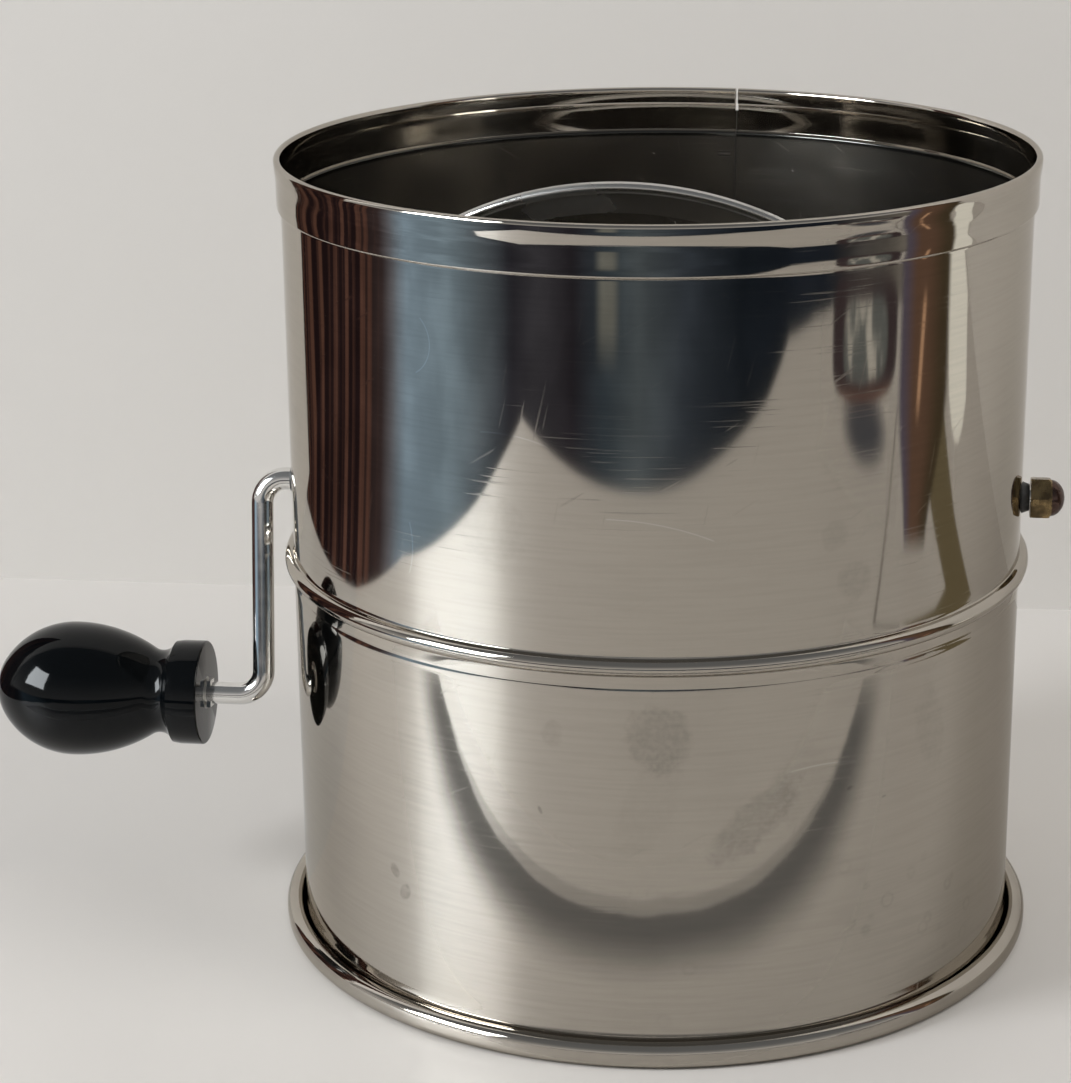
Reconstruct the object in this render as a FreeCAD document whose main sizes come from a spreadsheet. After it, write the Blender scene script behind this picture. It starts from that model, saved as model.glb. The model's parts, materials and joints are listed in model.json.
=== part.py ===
import FreeCAD, Part
import math
import os
import Sketcher
from FreeCAD import Placement, Rotation, Vector

# Rotary flour sifter.  Origin: the body's axis, on the plane that the foot curl stands on.
# +Z is up, the crank's shaft lies along X with the crank on the -X side and the nut on +X,
# and -Y is the front.  Millimetres and degrees.
SIZES = {
    # rolled sheet body
    "gauge": 0.5,
    "wall_radius": 76.0,
    "body_height": 166.2,
    "foot_radius": 80.25,
    "foot_height": 5.2,
    "foot_bend": 1.8,
    "foot_lip_bend": 1.55,
    "foot_lip_gap": 0.4,
    "bead_height": 82.1,
    "bead_rise": 1.84,
    "bead_crest": 1.45,
    "bead_fillet": 0.55,
    "band_foot_height": 156.0,
    "band_step": 0.9,
    "band_step_turn": 64.0,
    "hem_bend": 0.5,
    "hem_depth": 2.6,
    # lap seam at the back, and the open slit where its hem stops
    "seam_turn": -9.0,
    "lap_width": 8.0,
    "lap_gauge": 0.45,
    "lap_lower_start": 6.0,
    "lap_lower_end": 79.4,
    "lap_upper_start": 84.8,
    "lap_upper_end": 155.6,
    "slit_width": 0.65,
    "slit_depth": 5.0,
    "cutter_clearance": 1.0,
    # sieve bowl and the ring that binds its edge into the bead
    "sieve_radius": 75.4,
    "sieve_gauge": 0.6,
    "ring_roll": 1.0,
    "ring_roll_offset": 0.1,
    "ring_flange": 0.5,
    "ring_bore_radius": 73.95,
    # crank
    "crank_height": 94.46,
    "crank_turn": -8.66,
    "rod_radius": 2.38,
    "arm_offset": 84.0,
    "arm_length": 47.24,
    "rod_bend": 5.3,
    "rod_shoulder": 77.75,
    "thread_radius": 2.12,
    "thread_end": 83.0,
    "stop_width": 0.9,
    "stop_radius": 2.9,
    "stop_gap": 0.3,
    "stop_thickness": 3.56,
    # agitator
    "blade_turn": 16.0,
    "blade_bead_radius": 1.2,
    "blade_web_depth": 4.2,
    "blade_gauge": 0.6,
    "crown_radius": 69.9,
    "crown_shift": 5.6,
    "crown_left_reach": 37.3,
    "crown_right_reach": 29.35,
    "leg_left": 67.0,
    "leg_right": 61.5,
    "leg_root": 4.8,
    "hub_radius": 5.2,
    "hub_bore_radius": 2.4,
    "hub_outer_end": 72.5,
    "hub_left_length": 9.0,
    "hub_right_length": 15.0,
    "pin_radius": 1.0,
    "pin_length": 9.8,
    "pin_inset": 2.5,
    "pin_slip": 0.01,
    "spacer_gauge": 1.55,
    "spacer_radius": 4.4,
    # wall bushings
    "running_gap": 0.06,
    "bushing_flange_face": 74.25,
    "bushing_flange_back": 75.3,
    "bushing_flange_radius": 4.6,
    "bushing_neck_radius": 2.9,
    "bushing_hole_radius": 2.95,
    "bushing_cone_root": 3.35,
    "bushing_cone_tip": 2.75,
    "bushing_cone_end": 77.55,
    # acorn nut
    "nut_across_flats": 8.0,
    "nut_hex_height": 4.0,
    "nut_chamfer": 0.35,
    "nut_chamfer_width": 0.6,
    "nut_blank_margin": 0.05,
    "nut_dome_radius": 3.8,
    "nut_dome_height": 3.0,
    "nut_bore_depth": 5.5,
    "nut_turn": 19.0,
    # knob
    "knob_start": 12.6,
    "knob_length": 46.1,
    "collar_radius": 11.25,
    "collar_width": 4.9,
    "collar_edge": 0.5,
    "neck_start": 6.64,
    "neck_start_radius": 11.03,
    "neck_place": 9.9,
    "neck_radius": 8.95,
    "belly_place": 29.0,
    "belly_radius": 14.5,
    "belly_front_bend": 32.0,
    "nose_radius": 11.8,
    "liner_radius": 3.5,
    "liner_length": 27.0,
    "chamber_radius": 4.9,
    "chamber_length": 6.0,
    "push_nut_radius": 4.4,
    "push_nut_gauge": 0.6,
    "push_nut_gap": 0.5,
    "rod_past_liner": 3.0,
}

SHEET = "Sizes"


class Size:
    """A number worked out from the sheet, with the formula that FreeCAD binds."""

    def __init__(self, number, formula):
        self.number = number
        self.formula = formula

    def __add__(self, other):
        other = as_size(other)
        return Size(self.number + other.number, f"({self.formula} + {other.formula})")

    def __radd__(self, other):
        return as_size(other) + self

    def __sub__(self, other):
        other = as_size(other)
        return Size(self.number - other.number, f"({self.formula} - {other.formula})")

    def __rsub__(self, other):
        return as_size(other) - self

    def __mul__(self, other):
        other = as_size(other)
        return Size(self.number * other.number, f"({self.formula} * {other.formula})")

    def __rmul__(self, other):
        return as_size(other) * self

    def __truediv__(self, other):
        other = as_size(other)
        return Size(self.number / other.number, f"({self.formula} / {other.formula})")

    def __neg__(self):
        return Size(-self.number, f"(0 - {self.formula})")

    def root(self):
        return Size(math.sqrt(self.number), f"sqrt({self.formula})")

    def cosine(self):
        return Size(math.cos(math.radians(self.number)), f"cos({self.formula} * 1 deg)")

    def sine(self):
        return Size(math.sin(math.radians(self.number)), f"sin({self.formula} * 1 deg)")


def as_size(value):
    if isinstance(value, Size):
        return value
    return Size(float(value), f"({float(value)})")


def size(name):
    """The sheet's cell of that name."""
    return Size(SIZES[name], f"{SHEET}.{name}")


def toward(start, end, share):
    """The point that lies a share of the way from start to end."""
    return (start[0] + (end[0] - start[0]) * share, start[1] + (end[1] - start[1]) * share)


class Bend:
    """An arc of a path: its centre, radius, first and last point, and sense."""

    def __init__(self, centre, radius, start, end, clockwise):
        self.centre = centre
        self.radius = radius
        self.start = start
        self.end = end
        self.clockwise = clockwise

    def offset(self, left):
        """The same bend moved to the left of the travel."""
        wider = left if self.clockwise else -left
        share = (self.radius + wider) / self.radius
        start = toward(self.centre, self.start, share)
        end = start if self.is_point() else toward(self.centre, self.end, share)
        return Bend(self.centre, self.radius + wider, start, end, self.clockwise)

    def is_point(self):
        return self.start is self.end


def bend_at(centre, radius, first, last, clockwise):
    """A bend between two angles."""
    ends = []
    for angle in (first, last):
        angle = as_size(angle)
        ends.append((centre[0] + radius * angle.cosine(), centre[1] + radius * angle.sine()))
    return Bend(centre, radius, ends[0], ends[1], clockwise)


def path_end(centre, radius, angle, clockwise):
    """A square end of a path, as a bend with no length."""
    angle = as_size(angle)
    point = (centre[0] + radius * angle.cosine(), centre[1] + radius * angle.sine())
    return Bend(centre, radius, point, point, clockwise)


class Outline:
    """A closed chain of lines and arcs whose corners are bound to the sheet."""

    def __init__(self, start):
        self.start = start
        self.here = start
        self.edges = []

    def line_to(self, point):
        self.edges.append((self.here, point, None, False))
        self.here = point

    def arc_to(self, point, centre, clockwise):
        self.edges.append((self.here, point, centre, clockwise))
        self.here = point

    def close(self):
        self.line_to(self.start)

    def draw(self, sketch):
        corners = [self.add_edge(sketch, edge) for edge in self.edges]
        for index, (first, last) in enumerate(corners):
            following = corners[(index + 1) % len(corners)]
            sketch.addConstraint(Sketcher.Constraint("Coincident", index, last,
                                                     (index + 1) % len(corners), following[0]))
        for index, (first, last) in enumerate(corners):
            start, end, centre, _ = self.edges[index]
            place(sketch, index, first, 0, start[0])
            place(sketch, index, first, 1, start[1])
            if centre is not None:
                across = abs(end[0].number - start[0].number)
                along = abs(end[1].number - start[1].number)
                axis = 0 if along > across else 1
                place(sketch, index, 3, axis, centre[axis])

    def add_edge(self, sketch, edge):
        """Adds the edge and says which of its ends come first and last on the way round."""
        start, end, centre, clockwise = edge
        first = Vector(start[0].number, start[1].number, 0)
        last = Vector(end[0].number, end[1].number, 0)
        if centre is None:
            sketch.addGeometry(Part.LineSegment(first, last), False)
            return 1, 2
        middle = Vector(centre[0].number, centre[1].number, 0)
        if clockwise:
            first, last = last, first
        turn = [math.atan2(point.y - middle.y, point.x - middle.x) for point in (first, last)]
        circle = Part.Circle(middle, Vector(0, 0, 1), (first - middle).Length)
        sketch.addGeometry(Part.ArcOfCircle(circle, turn[0], turn[1]), False)
        return (2, 1) if clockwise else (1, 2)


def place(sketch, geometry, point, axis, value):
    """Holds one coordinate of a point at a size from the sheet."""
    value = as_size(value)
    if abs(value.number) < 1e-7:
        axis_line = -2 if axis == 0 else -1
        sketch.addConstraint(Sketcher.Constraint("PointOnObject", geometry, point, axis_line))
        return
    kind = "DistanceX" if axis == 0 else "DistanceY"
    index = sketch.addConstraint(Sketcher.Constraint(kind, geometry, point, value.number))
    sketch.setExpression(f"Constraints[{index}]", value.formula)


def draw_circle(sketch, centre, radius):
    centre = [as_size(value) for value in centre]
    middle = Vector(centre[0].number, centre[1].number, 0)
    index = sketch.addGeometry(Part.Circle(middle, Vector(0, 0, 1), radius.number), False)
    place(sketch, index, 3, 0, centre[0])
    place(sketch, index, 3, 1, centre[1])
    held = sketch.addConstraint(Sketcher.Constraint("Radius", index, radius.number))
    sketch.setExpression(f"Constraints[{held}]", radius.formula)


def box_outline(low, high):
    """A rectangle between two corners."""
    low = [as_size(value) for value in low]
    high = [as_size(value) for value in high]
    outline = Outline((low[0], low[1]))
    outline.line_to((high[0], low[1]))
    outline.line_to((high[0], high[1]))
    outline.line_to((low[0], high[1]))
    outline.close()
    return outline


def strip_outline(bends, gauge):
    """The outline of a sheet of that gauge, bent along its middle line."""
    left = [bend.offset(gauge / 2) for bend in bends]
    right = [bend.offset(-gauge / 2) for bend in bends]
    outline = Outline(left[0].start)
    for bend in left:
        if bend.start is not outline.start:
            outline.line_to(bend.start)
        if not bend.is_point():
            outline.arc_to(bend.end, bend.centre, bend.clockwise)
    for bend in reversed(right):
        outline.line_to(bend.end)
        if not bend.is_point():
            outline.arc_to(bend.start, bend.centre, not bend.clockwise)
    outline.close()
    return drop_short_lines(outline)


def drop_short_lines(outline):
    """Joins bends that follow each other with no straight run between them."""
    kept = []
    for start, end, centre, clockwise in outline.edges:
        run = math.hypot(end[0].number - start[0].number, end[1].number - start[1].number)
        if centre is None and run < 1e-6:
            continue
        kept.append((start, end, centre, clockwise))
    outline.edges = kept
    return outline


def new_body(document, name):
    body = document.addObject("PartDesign::Body", name)
    body.Label = name
    return body


def new_sketch(body, purpose, role, lift=None, turn=None):
    """A sketch on one of the body's own planes, lifted along its normal and turned in it."""
    sketch = body.newObject("Sketcher::SketchObject", f"{body.Name}_{purpose}")
    plane = [part for part in body.Origin.OriginFeatures if part.Role == role][0]
    sketch.AttachmentSupport = (plane, [""])
    sketch.MapMode = "FlatFace"
    if turn is not None:
        sketch.AttachmentOffset = Placement(Vector(), Rotation(Vector(0, 0, 1), turn.number))
        sketch.setExpression(".AttachmentOffset.Rotation.Angle", turn.formula)
    if lift is not None:
        sketch.setExpression(".AttachmentOffset.Base.z", lift.formula)
    return sketch


def revolve(body, sketch, axis):
    feature = body.newObject("PartDesign::Revolution", f"{sketch.Name}_revolved")
    feature.Profile = sketch
    feature.ReferenceAxis = (sketch, [axis])
    feature.Angle = 360.0
    sketch.Visibility = False
    return feature


def pad(body, sketch, length):
    feature = body.newObject("PartDesign::Pad", f"{sketch.Name}_pad")
    feature.Profile = sketch
    feature.setExpression("Length", length.formula)
    return feature


def pocket_through(body, sketch):
    """A pocket right through the body on both sides of its sketch."""
    feature = body.newObject("PartDesign::Pocket", f"{sketch.Name}_pocket")
    feature.Profile = sketch
    feature.Type = "ThroughAll"
    feature.Midplane = True
    return feature


def set_on_shaft(body, turn=None):
    """Places a sub-part on the crank's shaft, turned about it."""
    if turn is not None:
        body.Placement = Placement(Vector(), Rotation(Vector(1, 0, 0), turn.number))
        body.setExpression(".Placement.Rotation.Angle", turn.formula)
    body.setExpression(".Placement.Base.z", size("crank_height").formula)


def shaft_ring(document, name, span, bore, outside):
    """A plain ring on the shaft, between two places along it."""
    body = new_body(document, name)
    sketch = new_sketch(body, "section", "XZ_Plane")
    box_outline((span[0], bore), (span[1], outside)).draw(sketch)
    revolve(body, sketch, "H_Axis")
    set_on_shaft(body, turn=size("crank_turn"))
    return body


def wall_bends():
    """The middle line of the body's sheet, from the lip of the foot curl up to the hem."""
    half = size("gauge") / 2
    wall = size("wall_radius") - half
    bend = size("foot_bend")
    lip = size("foot_lip_bend")
    outer = size("foot_radius") - half
    top = size("foot_height") - half
    lip_centre = (size("wall_radius") + size("foot_lip_gap") + half + lip, top - lip)
    foot_turn = [
        bend_at(lip_centre, lip, 180, 90, True),
        bend_at((outer - bend, top - bend), bend, 90, 0, True),
        bend_at((outer - bend, half + bend), bend, 0, -90, True),
        bend_at((wall + bend, half + bend), bend, -90, -180, True),
    ]

    crest = size("bead_crest")
    fillet = size("bead_fillet")
    reach = crest + fillet
    height = size("bead_height")
    crest_centre = (wall + size("bead_rise") - crest, height)
    out = fillet + wall - crest_centre[0]
    up = (reach * reach - out * out).root()
    below = (wall + fillet, height - up)
    above = (wall + fillet, height + up)
    low_touch = toward(crest_centre, below, crest / reach)
    high_touch = toward(crest_centre, above, crest / reach)
    bead = [
        Bend(below, fillet, (wall, below[1]), low_touch, True),
        Bend(crest_centre, crest, low_touch, high_touch, False),
        Bend(above, fillet, high_touch, (wall, above[1]), True),
    ]

    turn = size("band_step_turn")
    step = size("band_step")
    joggle = step / (2 * (1 - turn.cosine()))
    rise = 2 * joggle * turn.sine()
    start = size("band_foot_height")
    band = [
        bend_at((wall + joggle, start), joggle, 180, 180 - turn, True),
        bend_at((wall + step - joggle, start + rise), joggle, -turn, 0, False),
    ]

    hem = size("hem_bend")
    hem_centre = (wall + step - hem, size("body_height") - half - hem)
    hem_end = (hem_centre[0], hem_centre[1] - size("hem_depth"))
    rim = [
        bend_at(hem_centre, hem, 0, 180, False),
        path_end(hem_end, hem, 180, False),
    ]
    return foot_turn + bead + band + rim


def lap_outlines():
    """The two free edges of the lap seam, each feathered into the sheet beside it."""
    middle = size("wall_radius") - size("gauge") / 2
    inner = size("wall_radius") - size("gauge") - size("lap_gauge")
    outer = size("wall_radius") + size("lap_gauge")
    width = size("lap_width")
    far = ((-width), (middle * middle - width * width).root())
    near = (as_size(0), middle)

    inside = Outline(near)
    inside.line_to(far)
    inside.line_to((as_size(0), inner))
    inside.close()

    outside = Outline(near)
    outside.line_to(toward((as_size(0), as_size(0)), far, outer / middle))
    outside.line_to(far)
    outside.close()
    return {"inside": inside, "outside": outside}


def make_body_shell(document):
    body = new_body(document, "body_shell")
    sketch = new_sketch(body, "sheet", "XZ_Plane")
    strip_outline(wall_bends(), size("gauge")).draw(sketch)
    revolve(body, sketch, "V_Axis")

    turn = size("seam_turn")
    for side, outline in lap_outlines().items():
        for part in ("lower", "upper"):
            start = size(f"lap_{part}_start")
            lap = new_sketch(body, f"lap_{side}_{part}", "XY_Plane", start, turn)
            outline.draw(lap)
            pad(body, lap, size(f"lap_{part}_end") - start)

    half_slit = size("slit_width") / 2
    low = size("body_height") - size("slit_depth")
    slit = new_sketch(body, "slit", "XY_Plane", low, turn)
    inside = size("wall_radius") - 2 * size("cutter_clearance")
    box_outline((-half_slit, inside), (half_slit, size("foot_radius"))).draw(slit)
    cut = body.newObject("PartDesign::Pocket", "body_shell_slit_pocket")
    cut.Profile = slit
    cut.Type = "ThroughAll"
    cut.Reversed = True

    holes = new_sketch(body, "shaft_holes", "YZ_Plane")
    draw_circle(holes, (0, size("crank_height")), size("bushing_hole_radius"))
    pocket_through(body, holes)
    return body


def make_sieve(document):
    body = new_body(document, "sieve_bowl")
    outer = size("sieve_radius")
    inner = outer - size("sieve_gauge")
    centre = (as_size(0), size("crank_height"))
    edge = size("bead_height") - size("ring_flange") / 2
    drop = centre[1] - edge
    outline = Outline((as_size(0), centre[1] - outer))
    outline.arc_to(((outer * outer - drop * drop).root(), edge), centre, False)
    outline.line_to(((inner * inner - drop * drop).root(), edge))
    outline.arc_to((as_size(0), centre[1] - inner), centre, True)
    outline.close()
    sketch = new_sketch(body, "section", "XZ_Plane")
    outline.draw(sketch)
    revolve(body, sketch, "V_Axis")
    return body


def make_binding_ring(document):
    body = new_body(document, "sieve_binding_ring")
    roll = size("ring_roll")
    half = size("ring_flange") / 2
    height = size("bead_height")
    centre = (size("wall_radius") + size("ring_roll_offset"), height)
    neck = centre[0] - (roll * roll - half * half).root()
    bore = size("ring_bore_radius")
    outline = Outline((bore, height - half))
    outline.line_to((neck, height - half))
    outline.arc_to((neck, height + half), centre, False)
    outline.line_to((bore, height + half))
    outline.close()
    sketch = new_sketch(body, "section", "XZ_Plane")
    outline.draw(sketch)
    revolve(body, sketch, "V_Axis")
    return body


def make_crank_rod(document):
    """Shaft, arm and leg bent from one rod, with a turned-down thread at the nut end."""
    body = new_body(document, "crank_rod")
    bend = size("rod_bend")
    arm = -size("arm_offset")
    drop = -size("arm_length")
    leg_end = arm - size("knob_start") - size("liner_length") - size("rod_past_liner")
    zero = as_size(0)
    runs = [
        ((size("thread_end"), zero), (arm + bend, zero), None, False),
        ((arm + bend, zero), (arm, -bend), (arm + bend, -bend), False),
        ((arm, -bend), (arm, drop + bend), None, False),
        ((arm, drop + bend), (arm - bend, drop), (arm - bend, drop + bend), True),
        ((arm - bend, drop), (leg_end, drop), None, False),
    ]
    path = new_sketch(body, "path", "XZ_Plane")
    route = Outline(runs[0][0])
    route.edges = runs
    corners = [route.add_edge(path, run) for run in runs]
    for index in range(len(runs) - 1):
        path.addConstraint(Sketcher.Constraint("Coincident", index, corners[index][1],
                                               index + 1, corners[index + 1][0]))
    for index, run in enumerate(runs):
        place(path, index, corners[index][0], 0, run[0][0])
        place(path, index, corners[index][0], 1, run[0][1])
        if run[2] is not None:
            place(path, index, 3, 0, run[2][0])
    place(path, len(runs) - 1, 2, 0, leg_end)
    place(path, len(runs) - 1, 2, 1, drop)

    section = new_sketch(body, "section", "YZ_Plane", size("thread_end"))
    draw_circle(section, (0, 0), size("rod_radius"))
    pipe = body.newObject("PartDesign::AdditivePipe", "crank_rod_bent")
    pipe.Profile = section
    pipe.Spine = path

    thread = new_sketch(body, "thread", "XZ_Plane")
    clearance = size("cutter_clearance")
    box_outline((size("rod_shoulder"), size("thread_radius")),
                (size("thread_end") + clearance, size("rod_radius") + clearance)).draw(thread)
    groove = body.newObject("PartDesign::Groove", "crank_rod_thread_groove")
    groove.Profile = thread
    groove.ReferenceAxis = (thread, ["H_Axis"])
    groove.Angle = 360.0

    for end, side in (("left", -1), ("right", 1)):
        hole = new_sketch(body, f"pin_hole_{end}", "XY_Plane")
        draw_circle(hole, (side * (size("hub_outer_end") - size("pin_inset")), 0),
                    size("pin_radius"))
        pocket_through(body, hole)

    stop = new_sketch(body, "knob_stop", "XZ_Plane")
    collar = arm - size("knob_start") + size("stop_gap")
    half = size("stop_radius")
    box_outline((collar, drop - half), (collar + size("stop_width"), drop + half)).draw(stop)
    ears = pad(body, stop, size("stop_thickness"))
    ears.Midplane = True
    set_on_shaft(body, turn=size("crank_turn"))
    return body


def make_blade(document, number):
    """One quarter of the agitator: a strip hoop with its outer edge rolled to a bead."""
    body = new_body(document, f"agitator_blade_{number}")
    crown = size("crown_radius")
    shift = -size("crown_shift")
    root = size("leg_root")
    reach = {-1: size("crown_left_reach"), 1: size("crown_right_reach")}
    leg = {-1: size("leg_left"), 1: size("leg_right")}

    path = new_sketch(body, "path", "XZ_Plane")
    ends = {}
    shoulders = {}
    for side in (-1, 1):
        join = side * reach[side].number
        out = (join - shift.number) * side
        lean = math.asin(out / crown.number)
        up = crown.number * math.cos(lean)
        radius = (leg[side].number - reach[side].number) / (1 - math.sin(lean))
        centre = Vector(side * (leg[side].number - radius), up - radius * math.cos(lean), 0)
        ends[side] = math.pi / 2 - side * lean
        shoulders[side] = (centre, radius)

    middle = Vector(shift.number, 0, 0)
    path.addGeometry(Part.LineSegment(Vector(-leg[-1].number, root.number, 0),
                                      Vector(-leg[-1].number, shoulders[-1][0].y, 0)), False)
    circle = Part.Circle(shoulders[-1][0], Vector(0, 0, 1), shoulders[-1][1])
    path.addGeometry(Part.ArcOfCircle(circle, ends[-1], math.pi), False)
    circle = Part.Circle(middle, Vector(0, 0, 1), crown.number)
    path.addGeometry(Part.ArcOfCircle(circle, ends[1], ends[-1]), False)
    circle = Part.Circle(shoulders[1][0], Vector(0, 0, 1), shoulders[1][1])
    path.addGeometry(Part.ArcOfCircle(circle, 0.0, ends[1]), False)

    for first, first_end, second, second_end in ((0, 2, 1, 2), (1, 1, 2, 2), (2, 1, 3, 2)):
        path.addConstraint(Sketcher.Constraint("Tangent", first, first_end, second, second_end))
    path.addConstraint(Sketcher.Constraint("Vertical", 0))
    place(path, 0, 1, 0, -leg[-1])
    place(path, 0, 1, 1, root)
    place(path, 2, 3, 0, shift)
    place(path, 2, 3, 1, 0)
    held = path.addConstraint(Sketcher.Constraint("Radius", 2, crown.number))
    path.setExpression(f"Constraints[{held}]", crown.formula)
    place(path, 2, 2, 0, -reach[-1])
    place(path, 2, 1, 0, reach[1])
    place(path, 3, 1, 0, leg[1])
    path.addConstraint(Sketcher.Constraint("Horizontal", 3, 3, 3, 1))

    bead = size("blade_bead_radius")
    half = size("blade_gauge") / 2
    centre = (-leg[-1], as_size(0))
    neck = centre[0] + (bead * bead - half * half).root()
    edge = centre[0] + bead + size("blade_web_depth")
    section = Outline((edge, -half))
    section.line_to((edge, half))
    section.line_to((neck, half))
    section.arc_to((neck, -half), centre, False)
    section.close()
    profile = new_sketch(body, "section", "XY_Plane", root)
    section.draw(profile)
    pipe = body.newObject("PartDesign::AdditivePipe", f"{body.Name}_hoop")
    pipe.Profile = profile
    pipe.Spine = path
    set_on_shaft(body, turn=size("blade_turn") + 90 * (number - 1))
    return body


def make_hub(document, end):
    """A sleeve that carries the four blades' ends and is pinned to the shaft."""
    side = -1 if end == "left" else 1
    outer = size("hub_outer_end")
    inner = outer - size(f"hub_{end}_length")
    span = sorted((side * outer, side * inner), key=lambda place_along: place_along.number)
    body = shaft_ring(document, f"hub_{end}", span, size("hub_bore_radius"), size("hub_radius"))
    hole = new_sketch(body, "pin_hole", "XY_Plane")
    draw_circle(hole, (side * (outer - size("pin_inset")), 0), size("pin_radius"))
    pocket_through(body, hole)
    return body


def make_drive_pin(document, end):
    side = -1 if end == "left" else 1
    body = new_body(document, f"drive_pin_{end}")
    length = size("pin_length")
    sketch = new_sketch(body, "section", "XY_Plane", -length / 2)
    centre = (side * (size("hub_outer_end") - size("pin_inset")), 0)
    draw_circle(sketch, centre, size("pin_radius") - size("pin_slip"))
    pad(body, sketch, length)
    set_on_shaft(body, turn=size("crank_turn"))
    return body


def make_spacer(document, end):
    side = -1 if end == "left" else 1
    near = size("hub_outer_end")
    far = near + size("spacer_gauge")
    span = sorted((side * near, side * far), key=lambda place_along: place_along.number)
    return shaft_ring(document, f"spacer_{end}", span, size("hub_bore_radius"),
                      size("spacer_radius"))


def make_bushing(document, end):
    """A snap-in bushing: a flange inside the wall, a neck in its hole and a cone outside."""
    body = new_body(document, f"bushing_{end}")
    bore = size("rod_radius") + size("running_gap")
    face = size("bushing_flange_face")
    back = size("bushing_flange_back")
    tip = size("bushing_cone_end")
    wall = size("wall_radius")
    neck = size("bushing_neck_radius")
    outline = Outline((face, bore))
    outline.line_to((tip, bore))
    outline.line_to((tip, size("bushing_cone_tip")))
    outline.line_to((wall, size("bushing_cone_root")))
    outline.line_to((wall, neck))
    outline.line_to((back, neck))
    outline.line_to((back, size("bushing_flange_radius")))
    outline.line_to((face, size("bushing_flange_radius")))
    outline.close()
    sketch = new_sketch(body, "section", "XZ_Plane")
    outline.draw(sketch)
    revolve(body, sketch, "H_Axis")
    half_turn = 180.0 if end == "left" else 0.0
    body.Placement = Placement(Vector(), Rotation(Vector(0, 0, 1), half_turn))
    set_on_shaft(body)
    return body


def make_acorn_nut(document):
    """A hexagon with both faces chamfered by a cone, a domed cap and a blind bore."""
    across = size("nut_across_flats")
    corner = across / as_size(30).cosine() / 2
    height = size("nut_hex_height")

    hexagon = document.addObject("Part::Prism", "nut_hexagon")
    hexagon.Polygon = 6
    hexagon.setExpression("Circumradius", corner.formula)
    hexagon.setExpression("Height", height.formula)

    blank = document.addObject("Part::Cylinder", "nut_blank")
    blank.setExpression("Radius", (corner + size("nut_blank_margin")).formula)
    blank.setExpression("Height", height.formula)
    document.recompute()
    chamfer = document.addObject("Part::Chamfer", "nut_blank_chamfered")
    chamfer.Base = blank
    cut = (SIZES["nut_chamfer_width"], SIZES["nut_chamfer"])
    rims = [number for number, edge in enumerate(blank.Shape.Edges, start=1) if edge.isClosed()]
    chamfer.Edges = [(number, *cut) for number in rims]

    hexagon_chamfered = document.addObject("Part::Common", "nut_hexagon_chamfered")
    hexagon_chamfered.Base = hexagon
    hexagon_chamfered.Tool = chamfer

    dome = document.addObject("Part::Ellipsoid", "nut_dome")
    dome.Angle1 = 0
    dome.setExpression("Radius1", size("nut_dome_height").formula)
    dome.setExpression("Radius2", size("nut_dome_radius").formula)
    dome.setExpression("Radius3", size("nut_dome_radius").formula)
    dome.setExpression(".Placement.Base.z", height.formula)

    solid = document.addObject("Part::Fuse", "nut_solid")
    solid.Base = hexagon_chamfered
    solid.Tool = dome

    bore = document.addObject("Part::Cylinder", "nut_bore")
    bore.setExpression("Radius", size("thread_radius").formula)
    bore.setExpression("Height", size("nut_bore_depth").formula)

    nut = document.addObject("Part::Cut", "acorn_nut")
    nut.Label = "acorn_nut"
    nut.Base = solid
    nut.Tool = bore
    along_shaft = Rotation(Vector(0, 1, 0), 90)
    about_shaft = Rotation(Vector(1, 0, 0), SIZES["nut_turn"])
    nut.Placement = Placement(Vector(), about_shaft.multiply(along_shaft))
    nut.setExpression(".Placement.Base.x", size("rod_shoulder").formula)
    nut.setExpression(".Placement.Base.z", size("crank_height").formula)
    return nut


def set_on_leg(body):
    """Turns a sub-part drawn along +X to run out along the crank's leg, away from the arm."""
    turn = size("crank_turn")
    drop = size("arm_length")
    outward = Rotation(Vector(1, 0, 0), turn.number).multiply(Rotation(Vector(0, 0, 1), 180))
    body.Placement = Placement(Vector(), outward)
    body.setExpression(".Placement.Base.x", (-size("arm_offset") - size("knob_start")).formula)
    body.setExpression(".Placement.Base.y", (drop * turn.sine()).formula)
    body.setExpression(".Placement.Base.z", (size("crank_height") - drop * turn.cosine()).formula)


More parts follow.
